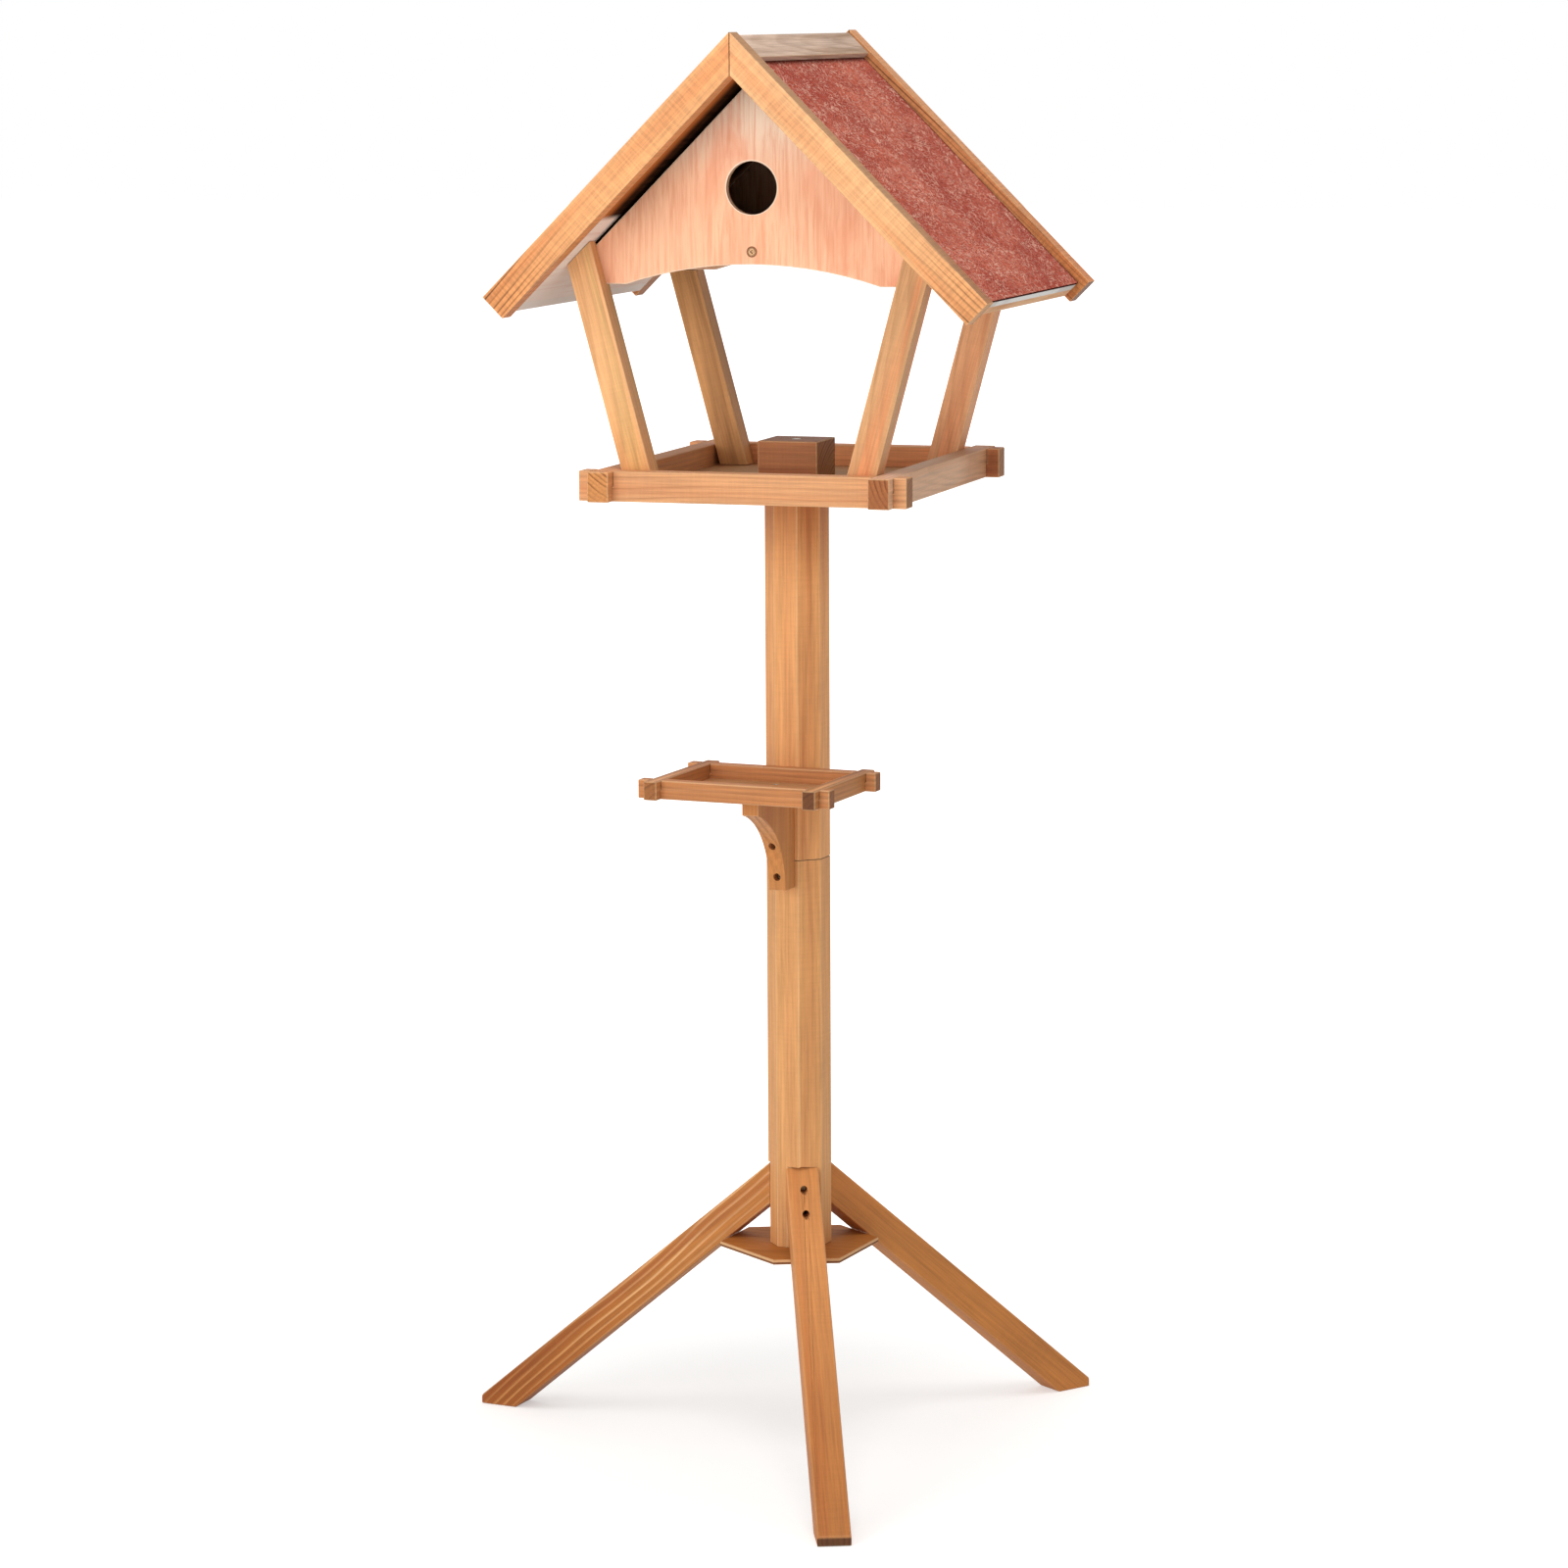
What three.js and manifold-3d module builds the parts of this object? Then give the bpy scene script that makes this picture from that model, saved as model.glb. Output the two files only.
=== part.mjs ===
// A free-standing wooden bird table. An eight-sided post on three splayed legs carries an open
// tray. Four uprights lean outwards from the tray to a gabled house with a nest space under its
// roof, and a bracket on the post holds a second, small tray.
// Lengths are millimetres. X runs along the front, Y from front to back and Z up.

import * as THREE from 'three';
import { mergeVertices } from 'three/addons/utils/BufferGeometryUtils.js';
import Module from 'manifold-3d';

const wasm = await Module();
wasm.setup();

const degree = Math.PI / 180;
const quarterTurn = Math.PI / 2;
const halfTurn = Math.PI;

// Clearances and fineness
const fitGap = 0.3; // between two pieces that touch
const overrun = 15; // how far a cut runs past the piece that it cuts
const roundSides = 16;
const holeSides = 40;
const curveSteps = 14;

// Heights above the ground
const trayHeight = 980.5; // top of the main tray's rails
const houseHeight = 409.5; // from there up to the tip of the bargeboards
const seamHeight = 591; // joint between the two lengths of the post
const legHeadHeight = 284.6; // shoulder that the heads of the legs stop under

// Post
const postSides = 8;
const postAcross = 58;
const columnTurn = -5.5; // degrees: the post and the small tray are turned under the house
const flatDepth = 4; // milled away where a leg lies against the post
const flatHeight = 81.4; // from the foot of the post up to the shoulder
const dowelDiameter = 22;
const dowelLength = 80;

// Legs
const legNames = ['front', 'right', 'left'];
const firstLegTurn = -67.5; // degrees from +X
const legStock = 32;
const legSlope = 40; // degrees below level
const footBlunt = 9.4; // upright cut at the tip of the foot
const legScrewShares = [0.445, 0.9]; // down the end face of the leg

// Base plate
const plateThickness = 5;
const plateEdge = 65; // length of each short edge, under a leg

// Screws
const legUnderHead = 8; // wood left between a screw's head and the post
const bracketUnderHead = 14;
const frameScrewLength = 30;
const frameScrewShank = 4;
const frameScrewHead = 7;
const frameHeadHeight = 2.6;
const boardScrewLength = 25;
const boardScrewShank = 3.5;
const boardScrewHead = 7.4;
const boardHeadHeight = 2.4;
const trayScrewLength = 15;
const plateScrewLength = 38;
const postScrewLength = 85;
const postScrewShank = 6;
const postScrewHead = 11;
const postHeadHeight = 4;

// Main tray
const trayWidth = 296.8; // over the side rails
const trayDepth = 347; // over the front and rear rails
const trayRailHeight = 28.7;
const trayRailThickness = 21;
const trayHorn = 13; // how far each rail runs past the one it crosses
const trayFloorThickness = 6;
const trayFloorLift = 2.5; // floor above the underside of the rails
const blockAcross = 60;
const blockHeight = 39;

// Bracket
const bracketWidth = 17;
const bracketReach = 88.4; // from the post to the tip of the arm
const bracketTip = 17.4; // height of the tip
const bracketTail = 23; // thickness of the foot of the tail
const bracketAboveSeam = 74.2;
const bracketBelowSeam = 26.5;
const bracketScrewAboveSeam = 19;
const bracketScrewBelowSeam = 13;
const armScrewShares = [0.3, 0.75]; // along the reach of the arm

// Small tray
const smallWidth = 177.2;
const smallDepth = 128.7;
const smallRailHeight = 18;
const smallRailThickness = 13.3;
const smallHorn = 10.5;
const smallFloorThickness = 4;

// Roof
const roofSlope = 45; // degrees
const roofWidth = 492; // over the upper end corners of the bargeboards
const roofDepth = 400; // over the faces of the bargeboards
const boardHeight = 28; // square to the slope
const boardThickness = 22;
const boardStand = 8.5; // bargeboard above the felt
const feltThickness = 3;
const panelThickness = 16;
const eaveSetback = 7.6; // panel and felt stop short of the ends of the boards
const capThickness = 6.5;
const capWidth = 29;
const mitreGap = 0.9; // open joint between two bargeboards

// Uprights and gables
const uprightLean = 15.2; // degrees outwards
const uprightWidth = 28; // square to the lean
const uprightDepth = 24;
const uprightEase = 1.2; // between an upright and the top edge of the side rail
const gableThickness = 8;
const gableClearance = 3.6; // shadow gap under the roof, square to the slope
const gableShoulder = 18.3; // foot of the gable below the outer corner of an upright's head
const archWidth = 250;
const archRise = 19.5;
const holeDiameter = 50;
const holeBelowPeak = 100.3; // below the peak of the gable
const nestFloorThickness = 12;
const nestFloorLift = 6; // above the top of the arch

// Heights and faces that follow from the sizes above
const ridgeHeight = trayHeight + houseHeight;
const postFoot = legHeadHeight - flatHeight;
const postFace = postAcross / 2;
const columnAngle = columnTurn * degree;
const flatFace = postFace - flatDepth;
const plateTop = postFoot - fitGap;
const trayRailFoot = trayHeight - trayRailHeight;
const trayFloorFoot = trayRailFoot + trayFloorLift;
const trayFloorTop = trayFloorFoot + trayFloorThickness;
const postTop = trayFloorFoot - fitGap;
const blockFoot = trayFloorTop + fitGap;
const blockTop = blockFoot + blockHeight;
const trayInnerX = trayWidth / 2 - trayRailThickness;
const trayInnerY = trayDepth / 2 - trayRailThickness;
const bracketTop = seamHeight + bracketAboveSeam;
const bracketFoot = seamHeight - bracketBelowSeam;
const bracketBack = postFace + fitGap;
const smallTrayFoot = bracketTop + fitGap;

// The leg in its own plane: R runs out from the post's axis
const legTan = Math.tan(legSlope * degree);
const legHeadFace = flatFace + fitGap;
const legHeadTop = legHeadHeight - fitGap;
const legEndHeight = legStock / Math.cos(legSlope * degree);
const legHeadFoot = legHeadTop - legEndHeight;
const legReach = legHeadFace + (legHeadTop - footBlunt) / legTan;
const legHeel = legHeadFace + legHeadFoot / legTan;
const legTurns = legNames.map((name, place) => (
  (firstLegTurn + place * 360 / legNames.length) * degree
));

// The slope of the roof: depth is measured square to the boards' top edges
const roofAngle = roofSlope * degree;
const roofTan = Math.tan(roofAngle);
const roofCos = Math.cos(roofAngle);
const roofSin = Math.sin(roofAngle);
const boardLength = roofWidth / 2 / roofCos;
const panelLength = boardLength - eaveSetback;
const panelDepth = boardStand + feltThickness;
const roofUnderside = panelDepth + panelThickness;
const roofPeak = ridgeHeight - (roofUnderside + fitGap) / roofCos;
const gablePeak = roofPeak - gableClearance / roofCos;
const panelEndY = roofDepth / 2 - boardThickness - fitGap;

// The uprights: their outer faces start just clear of the side rails
const leanTan = Math.tan(uprightLean * degree);
const uprightLevelWidth = uprightWidth / Math.cos(uprightLean * degree);
const uprightOuterY = trayInnerY - fitGap;
const uprightInnerY = uprightOuterY - uprightDepth;
const gableOuterY = uprightInnerY + gableThickness;
const outerX = (z) => trayInnerX - uprightEase + (z - trayHeight) * leanTan;
const outerTopZ = roofMeeting(roofPeak, 0);
const innerTopZ = roofMeeting(roofPeak, uprightLevelWidth);
const gableTopZ = roofMeeting(gablePeak, 0);
const rebateFoot = outerTopZ - gableShoulder;
const gableFoot = rebateFoot + fitGap;
const nestFloorFoot = gableFoot + archRise + nestFloorLift;
const nestFloorTop = nestFloorFoot + nestFloorThickness;
const nestFloorMiddle = (nestFloorFoot + nestFloorTop) / 2;

// Height at which a line this far inside an upright's outer face meets a slope with this peak
function roofMeeting(peak, inset) {
  const atTray = trayInnerX - uprightEase - inset;
  return (peak / roofTan + trayHeight * leanTan - atTray) / (leanTan + 1 / roofTan);
}

// Finishes
const finishes = {
  honeyWood: { color: 0xd9a066, roughness: 0.62, metalness: 0 },
  paleWood: { color: 0xe6ae78, roughness: 0.6, metalness: 0 },
  darkWood: { color: 0xb9814f, roughness: 0.65, metalness: 0 },
  gablePly: { color: 0xdda585, roughness: 0.7, metalness: 0 },
  floorPly: { color: 0xc58f5f, roughness: 0.7, metalness: 0 },
  redFelt: { color: 0xb5574d, roughness: 0.95, metalness: 0 },
  greyWood: { color: 0x9c8b78, roughness: 0.8, metalness: 0 },
  steel: { color: 0x8f8f8c, roughness: 0.4, metalness: 0.9 },
};

function piece(name, geometry, finish) {
  const material = new THREE.MeshStandardMaterial(finishes[finish]);
  const mesh = new THREE.Mesh(geometry, material);
  mesh.name = name;
  return mesh;
}

// Joining and cutting
function solidOf(geometry) {
  const bare = geometry.clone();
  bare.deleteAttribute('normal');
  bare.deleteAttribute('uv');
  const merged = mergeVertices(bare);
  const vertProperties = new Float32Array(merged.attributes.position.array);
  const triVerts = new Uint32Array(merged.index.array);
  return new wasm.Manifold(new wasm.Mesh({ numProp: 3, vertProperties, triVerts }));
}

function cut(geometry, tools) {
  let solid = solidOf(geometry);
  for (const tool of tools) {
    solid = solid.subtract(solidOf(tool));
  }
  const { vertProperties, triVerts } = solid.getMesh();
  const result = new THREE.BufferGeometry();
  result.setAttribute('position', new THREE.BufferAttribute(vertProperties, 3));
  result.setIndex(new THREE.BufferAttribute(triVerts, 1));
  result.computeVertexNormals();
  return result;
}

// Basic shapes
function block(sizeX, sizeY, sizeZ, x, y, z) {
  return new THREE.BoxGeometry(sizeX, sizeY, sizeZ).translate(x, y, z);
}

// An outline in X and Z, carried along Y from lowY to highY
function boardAcross(outline, lowY, highY) {
  const shape = new THREE.Shape(outline.map(([x, z]) => new THREE.Vector2(x, z)));
  const geometry = new THREE.ExtrudeGeometry(shape, { depth: highY - lowY, bevelEnabled: false });
  return geometry.rotateX(quarterTurn).translate(0, highY, 0);
}

function octagon(lowZ, highZ) {
  const radius = postFace / Math.cos(halfTurn / postSides);
  const height = highZ - lowZ;
  const turn = halfTurn / postSides;
  const prism = new THREE.CylinderGeometry(radius, radius, height, postSides, 1, false, turn);
  return prism.rotateX(quarterTurn).rotateZ(columnAngle).translate(0, 0, (lowZ + highZ) / 2);
}

function roundBar(diameter, lowZ, highZ) {
  const radius = diameter / 2;
  const bar = new THREE.CylinderGeometry(radius, radius, highZ - lowZ, roundSides);
  return bar.rotateX(quarterTurn).translate(0, 0, (lowZ + highZ) / 2);
}

// Screws: the outer face of the head is at the screw's place
const headUp = [quarterTurn, 0, 0];
const headDown = [-quarterTurn, 0, 0];
const headOut = [0, 0, -quarterTurn];
const headToFront = [0, 0, halfTurn];
const headToRear = [0, 0, 0];

const screwKinds = {
  frame: { shank: frameScrewShank, head: frameScrewHead, headHeight: frameHeadHeight, sunk: false },
  board: { shank: boardScrewShank, head: boardScrewHead, headHeight: boardHeadHeight, sunk: true },
  post: { shank: postScrewShank, head: postScrewHead, headHeight: postHeadHeight, sunk: true },
};

function screw(name, kind, length, place, turn) {
  return { name, ...screwKinds[kind], length, place, turn };
}

// The half outline of a screw, or of its hole when it grows and reaches out past the head
function screwGeometry(fastener, grow, reach) {
  const { shank, head, headHeight, sunk, length } = fastener;
  const shankR = shank / 2 + grow;
  const headR = head / 2 + grow;
  const underHead = -headHeight - grow;
  const points = [[0, -length - grow], [shankR, shank - length - grow], [shankR, underHead]];
  if (!sunk) {
    points.push([headR, underHead]);
  }
  points.push([headR, 0]);
  if (reach > 0) {
    points.push([headR, reach]);
  }
  points.push([0, reach]);
  const outline = points.map(([x, y]) => new THREE.Vector2(x, y));
  return new THREE.LatheGeometry(outline, roundSides);
}

function screwPiece(fastener) {
  const mesh = piece(fastener.name, screwGeometry(fastener, 0, 0), 'steel');
  mesh.position.set(...fastener.place);
  mesh.rotation.set(...fastener.turn);
  return mesh;
}

function screwHole(fastener, reach = overrun) {
  const hole = screwGeometry(fastener, fitGap, reach);
  const [turnX, turnY, turnZ] = fastener.turn;
  return hole.rotateX(turnX).rotateY(turnY).rotateZ(turnZ).translate(...fastener.place);
}

// Screws of the legs, in a leg's own frame with X running out from the post
function legScrews(name) {
  const seat = legHeadFace + legUnderHead + frameHeadHeight;
  return legScrewShares.map((share, place) => {
    const z = legHeadTop - share * legEndHeight;
    const title = `leg_${name}_screw_${place === 0 ? 'upper' : 'lower'}`;
    return screw(title, 'frame', frameScrewLength, [seat, 0, z], headOut);
  });
}

const plateScrew = screw(
  'plate_screw', 'board', plateScrewLength, [0, 0, plateTop - plateThickness], headDown,
);
const postScrew = screw(
  'post_fixing_screw', 'post', postScrewLength, [0, 0, blockTop], headUp,
);
const bracketSeat = -bracketBack - bracketUnderHead - frameHeadHeight;
const bracketScrewUpper = screw(
  'bracket_screw_upper', 'frame', frameScrewLength,
  [0, bracketSeat, seamHeight + bracketScrewAboveSeam], headToFront,
);
const bracketScrewLower = screw(
  'bracket_screw_lower', 'frame', frameScrewLength,
  [0, bracketSeat, seamHeight - bracketScrewBelowSeam], headToFront,
);
const armScrews = armScrewShares.map((share, place) => screw(
  `small_tray_screw_${place === 0 ? 'rear' : 'front'}`, 'board', trayScrewLength,
  [0, -bracketBack - share * bracketReach, smallTrayFoot + smallFloorThickness], headUp,
));

// Post: two lengths joined end to end on a dowel
const dowelFoot = seamHeight - dowelLength / 2;
const dowelTop = seamHeight + dowelLength / 2;

function dowelHole() {
  return roundBar(dowelDiameter + fitGap * 2, dowelFoot - fitGap, dowelTop + fitGap);
}

function legFlat(turn) {
  const height = flatHeight + overrun;
  const flat = block(
    postAcross, postAcross, height, flatFace + postFace, 0, legHeadHeight - height / 2,
  );
  return flat.rotateZ(turn);
}

function postLower() {
  const tools = [dowelHole(), screwHole(plateScrew)];
  tools.push(screwHole(bracketScrewLower).rotateZ(columnAngle));
  for (const [place, name] of legNames.entries()) {
    tools.push(legFlat(legTurns[place]));
    for (const fastener of legScrews(name)) {
      tools.push(screwHole(fastener).rotateZ(legTurns[place]));
    }
  }
  return piece('post_lower', cut(octagon(postFoot, seamHeight - fitGap), tools), 'honeyWood');
}

function postUpper() {
  const tools = [dowelHole(), screwHole(postScrew)];
  tools.push(screwHole(bracketScrewUpper).rotateZ(columnAngle));
  return piece('post_upper', cut(octagon(seamHeight, postTop), tools), 'honeyWood');
}

function postDowel() {
  return piece('post_dowel', roundBar(dowelDiameter, dowelFoot, dowelTop), 'paleWood');
}

// Legs: square stock, cut upright at the post and at the tip, and level on the ground
function legGroup(name, turn) {
  const outline = [
    [legHeadFace, legHeadFoot], [legHeadFace, legHeadTop], [legReach, footBlunt],
    [legReach, 0], [legHeel, 0],
  ];
  const stock = boardAcross(outline, -legStock / 2, legStock / 2);
  const screws = legScrews(name);
  const holes = screws.map((fastener) => screwHole(fastener, legStock + legEndHeight));
  const group = new THREE.Group();
  group.add(piece(`leg_${name}`, cut(stock, holes), 'honeyWood'), ...screws.map(screwPiece));
  group.rotation.z = turn;
  return group;
}

// Base plate: its short edges meet the undersides of the legs
function basePlate() {
  const reach = legHeadFace + (legHeadFoot - plateTop - fitGap) / legTan;
  const outline = new THREE.Shape();
  for (const [place, turn] of legTurns.entries()) {
    for (const side of [-1, 1]) {
      const corner = new THREE.Vector2(reach, side * plateEdge / 2);
      corner.rotateAround(new THREE.Vector2(), turn);
      if (place === 0 && side < 0) {
        outline.moveTo(corner.x, corner.y);
      } else {
        outline.lineTo(corner.x, corner.y);
      }
    }
  }
  const plate = new THREE.ExtrudeGeometry(outline, { depth: plateThickness, bevelEnabled: false });
  plate.translate(0, 0, plateTop - plateThickness);
  return piece('base_plate', cut(plate, [screwHole(plateScrew)]), 'darkWood');
}

// A tray rail along X, halved where it crosses its neighbours
function rail(name, length, thickness, height, crossing, notchOnTop, finish) {
  const notchSize = thickness + fitGap * 2;
  const notchDepth = height / 2 + fitGap / 2;
  const notchZ = (notchOnTop ? 1 : -1) * (height - notchDepth + overrun) / 2;
  const notches = [-1, 1].map((side) => block(
    notchSize, thickness + overrun, notchDepth + overrun, side * crossing, 0, notchZ,
  ));
  return piece(name, cut(block(length, thickness, height, 0, 0, 0), notches), finish);
}

// Four crossing rails: the side ones lie over the front and rear ones
function railFrame(prefix, width, depth, thickness, height, horn, finishNames) {
  const group = new THREE.Group();
  const crossingX = (width - thickness) / 2;
  const crossingY = (depth - thickness) / 2;
  for (const [side, end] of [[-1, 'front'], [1, 'rear']]) {
    const name = `${prefix}_rail_${end}`;
    const long = width + horn * 2;
    const bar = rail(name, long, thickness, height, crossingX, true, finishNames[end]);
    bar.position.y = side * crossingY;
    group.add(bar);
  }
  for (const [side, end] of [[-1, 'left'], [1, 'right']]) {
    const name = `${prefix}_rail_${end}`;
    const long = depth + horn * 2;
    const bar = rail(name, long, thickness, height, crossingY, false, finishNames[end]);
    bar.position.x = side * crossingX;
    bar.rotation.z = quarterTurn;
    group.add(bar);
  }
  return group;
}

// Main tray
function mainTray() {
  const finishNames = { front: 'honeyWood', rear: 'honeyWood', left: 'honeyWood', right: 'greyWood' };
  const group = railFrame(
    'tray', trayWidth, trayDepth, trayRailThickness, trayRailHeight, trayHorn, finishNames,
  );
  group.position.z = trayRailFoot + trayRailHeight / 2;
  return group;
}

function trayFloor() {
  const sizeX = (trayInnerX - fitGap) * 2;
  const sizeY = (trayInnerY - fitGap) * 2;
  const middle = (trayFloorFoot + trayFloorTop) / 2;
  const holes = [screwHole(postScrew), ...footScrews().map((fastener) => screwHole(fastener))];
  const board = block(sizeX, sizeY, trayFloorThickness, 0, 0, middle);
  return piece('tray_floor', cut(board, holes), 'floorPly');
}

function trayBlock() {
  const cube = block(blockAcross, blockAcross, blockHeight, 0, 0, (blockFoot + blockTop) / 2);
  return piece('tray_block', cut(cube, [screwHole(postScrew)]), 'darkWood');
}

// Bracket: its front is a hollow arc, upright where it meets the foot of the tail
function bracket() {
  const back = -bracketBack;
  const tailFront = back - bracketTail;
  const run = bracketReach - bracketTail;
  const rise = bracketTop - bracketTip - bracketFoot;
  const radius = (run * run + rise * rise) / (run * 2);
  const spread = Math.atan2(rise, radius - run);
  const outline = [[back, bracketFoot], [back, bracketTop], [back - bracketReach, bracketTop]];
  for (let step = 0; step <= curveSteps; step += 1) {
    const turn = spread * (1 - step / curveSteps);
    outline.push([
      tailFront - radius + radius * Math.cos(turn), bracketFoot + radius * Math.sin(turn),
    ]);
  }
  const shape = boardAcross(outline, -bracketWidth / 2, bracketWidth / 2).rotateZ(quarterTurn);
  const holes = [bracketScrewUpper, bracketScrewLower].map((fastener) => (
    screwHole(fastener, bracketReach)
  ));
  holes.push(...armScrews.map((fastener) => screwHole(fastener)));
  return piece('bracket', cut(shape, holes), 'honeyWood');
}

// Small tray
const smallMiddleY = -bracketBack - smallDepth / 2;

function smallTray() {
  const finishNames = { front: 'paleWood', rear: 'honeyWood', left: 'honeyWood', right: 'honeyWood' };
  const group = railFrame(
    'small_tray', smallWidth, smallDepth, smallRailThickness, smallRailHeight, smallHorn,
    finishNames,
  );
  group.position.set(0, smallMiddleY, smallTrayFoot + smallRailHeight / 2);
  return group;
}

function smallTrayFloor() {
  const sizeX = smallWidth - (smallRailThickness + fitGap) * 2;
  const sizeY = smallDepth - (smallRailThickness + fitGap) * 2;
  const middleZ = smallTrayFoot + smallFloorThickness / 2;
  const board = block(sizeX, sizeY, smallFloorThickness, 0, smallMiddleY, middleZ);
  const holes = armScrews.map((fastener) => screwHole(fastener));
  return piece('small_tray_floor', cut(board, holes), 'floorPly');
}

// Uprights: their feet stand on the tray floor, their heads follow the roof
const corners = [
  { name: 'front_left', sideX: -1, sideY: -1 },
  { name: 'front_right', sideX: 1, sideY: -1 },
  { name: 'rear_left', sideX: -1, sideY: 1 },
  { name: 'rear_right', sideX: 1, sideY: 1 },
];

function footScrew({ name, sideX, sideY }) {
  const x = sideX * (outerX(trayFloorTop) - uprightLevelWidth / 2);
  const y = sideY * (uprightOuterY + uprightInnerY) / 2;
  const title = `upright_screw_${name}`;
  return screw(title, 'board', boardScrewLength, [x, y, trayFloorFoot], headDown);
}

function footScrews() {
  return corners.map(footScrew);
}

function upright(corner) {
  const { name, sideX, sideY } = corner;
  const foot = trayFloorTop + fitGap;
  const outline = [
    [outerX(foot), foot], [outerX(outerTopZ), outerTopZ],
    [outerX(innerTopZ) - uprightLevelWidth, innerTopZ], [outerX(foot) - uprightLevelWidth, foot],
  ].map(([x, z]) => [sideX * x, z]);
  const faces = [sideY * uprightInnerY, sideY * uprightOuterY];
  const post = boardAcross(outline, Math.min(...faces), Math.max(...faces));
  const rebateDepth = gableThickness + fitGap + overrun;
  const rebateHeight = innerTopZ - rebateFoot + overrun;
  const rebate = block(
    roofWidth, rebateDepth, rebateHeight,
    0, sideY * (gableOuterY + fitGap - rebateDepth / 2), rebateFoot + rebateHeight / 2,
  );
  return piece(`upright_${name}`, cut(post, [rebate, screwHole(footScrew(corner))]), 'honeyWood');
}

// Gables: arched along the bottom, let into the uprights, the front one with the entrance
const gableScrews = [['front', -1, headToFront], ['rear', 1, headToRear]].map(
  ([end, side, turn]) => screw(
    `gable_screw_${end}`, 'board', boardScrewLength, [0, side * gableOuterY, nestFloorMiddle], turn,
  ),
);

function gableOutline() {
  const outline = [
    [outerX(gableFoot), gableFoot], [outerX(gableTopZ), gableTopZ], [0, gablePeak],
    [-outerX(gableTopZ), gableTopZ], [-outerX(gableFoot), gableFoot],
  ];
  const halfArch = archWidth / 2;
  const radius = (halfArch * halfArch + archRise * archRise) / (archRise * 2);
  const spread = Math.asin(halfArch / radius);
  for (let step = 0; step <= curveSteps; step += 1) {
    const turn = spread * (step * 2 / curveSteps - 1);
    const z = gableFoot + archRise - radius + radius * Math.cos(turn);
    outline.push([radius * Math.sin(turn), z]);
  }
  return outline;
}

function gable(end, side, hasEntrance) {
  const faces = [side * uprightInnerY, side * gableOuterY];
  const board = boardAcross(gableOutline(), Math.min(...faces), Math.max(...faces));
  const holes = gableScrews.map((fastener) => screwHole(fastener));
  if (hasEntrance) {
    const radius = holeDiameter / 2;
    const depth = gableThickness + overrun;
    const drill = new THREE.CylinderGeometry(radius, radius, depth, holeSides);
    holes.push(drill.translate(0, side * gableOuterY, gablePeak - holeBelowPeak));
  }
  return piece(`gable_${end}`, cut(board, holes), 'gablePly');
}

// Nest floor: the board between the gables that closes the roof space
function nestFloor() {
  const halfWidth = (roofPeak - nestFloorTop) / roofTan - fitGap;
  const sizeY = (uprightInnerY - fitGap) * 2;
  const board = block(halfWidth * 2, sizeY, nestFloorThickness, 0, 0, nestFloorMiddle);
  const holes = gableScrews.map((fastener) => screwHole(fastener));
  return piece('nest_floor', cut(board, holes), 'floorPly');
}

// A strip that lies along one slope of the roof, mitred at the ridge and square at its end
function slopeStrip(side, topDepth, footDepth, length, lowY, highY, gap) {
  const onSlope = (along, depth) => [
    side * (along * roofCos - depth * roofSin),
    ridgeHeight - along * roofSin - depth * roofCos,
  ];
  const ridgeAlong = (depth) => (gap / 2 + depth * roofSin) / roofCos;
  const outline = [
    onSlope(ridgeAlong(topDepth), topDepth), onSlope(length, topDepth),
    onSlope(length, footDepth), onSlope(ridgeAlong(footDepth), footDepth),
  ];
  return boardAcross(outline, lowY, highY);
}

function roofSide(name, side) {
  const group = new THREE.Group();
  const outerY = roofDepth / 2;
  const innerY = outerY - boardThickness;
  const capTop = boardStand - capThickness;
  const strips = [
    ['roof_panel', panelDepth, roofUnderside, panelLength, -panelEndY, panelEndY, 'floorPly'],
    ['roof_felt', boardStand, panelDepth - fitGap, panelLength, -panelEndY, panelEndY, 'redFelt'],
    ['ridge_cap', capTop, boardStand - fitGap, capWidth + capTop * roofTan,
      -panelEndY, panelEndY, 'greyWood'],
    ['bargeboard_front', 0, boardHeight, boardLength, -outerY, -innerY, 'paleWood'],
    ['bargeboard_rear', 0, boardHeight, boardLength, innerY, outerY, 'paleWood'],
  ];
  for (const [title, topDepth, footDepth, length, lowY, highY, finish] of strips) {
    const gap = topDepth === 0 ? mitreGap : fitGap;
    const geometry = slopeStrip(side, topDepth, footDepth, length, lowY, highY, gap);
    group.add(piece(`${title}_${name}`, geometry, finish));
  }
  return group;
}

// Assembly
const stand = new THREE.Group();
stand.add(postLower(), postUpper(), postDowel(), basePlate(), screwPiece(plateScrew));
for (const [place, name] of legNames.entries()) {
  stand.add(legGroup(name, legTurns[place]));
}

const lowerShelf = new THREE.Group();
lowerShelf.add(bracket(), screwPiece(bracketScrewUpper), screwPiece(bracketScrewLower));
lowerShelf.add(smallTray(), smallTrayFloor(), ...armScrews.map(screwPiece));
lowerShelf.rotation.z = columnAngle;

const table = new THREE.Group();
table.add(mainTray(), trayFloor(), trayBlock(), screwPiece(postScrew));

const house = new THREE.Group();
house.add(...corners.map(upright), ...footScrews().map(screwPiece));
house.add(gable('front', -1, true), gable('rear', 1, false), nestFloor());
house.add(...gableScrews.map(screwPiece), roofSide('left', -1), roofSide('right', 1));

const birdTable = new THREE.Group();
birdTable.add(stand, lowerShelf, table, house);

// The origin is under the middle of the whole object, on the ground
const extent = new THREE.Box3().setFromObject(birdTable, true);
const middle = extent.getCenter(new THREE.Vector3());
birdTable.position.set(-middle.x, -middle.y, -extent.min.z);

export default birdTable;
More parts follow.
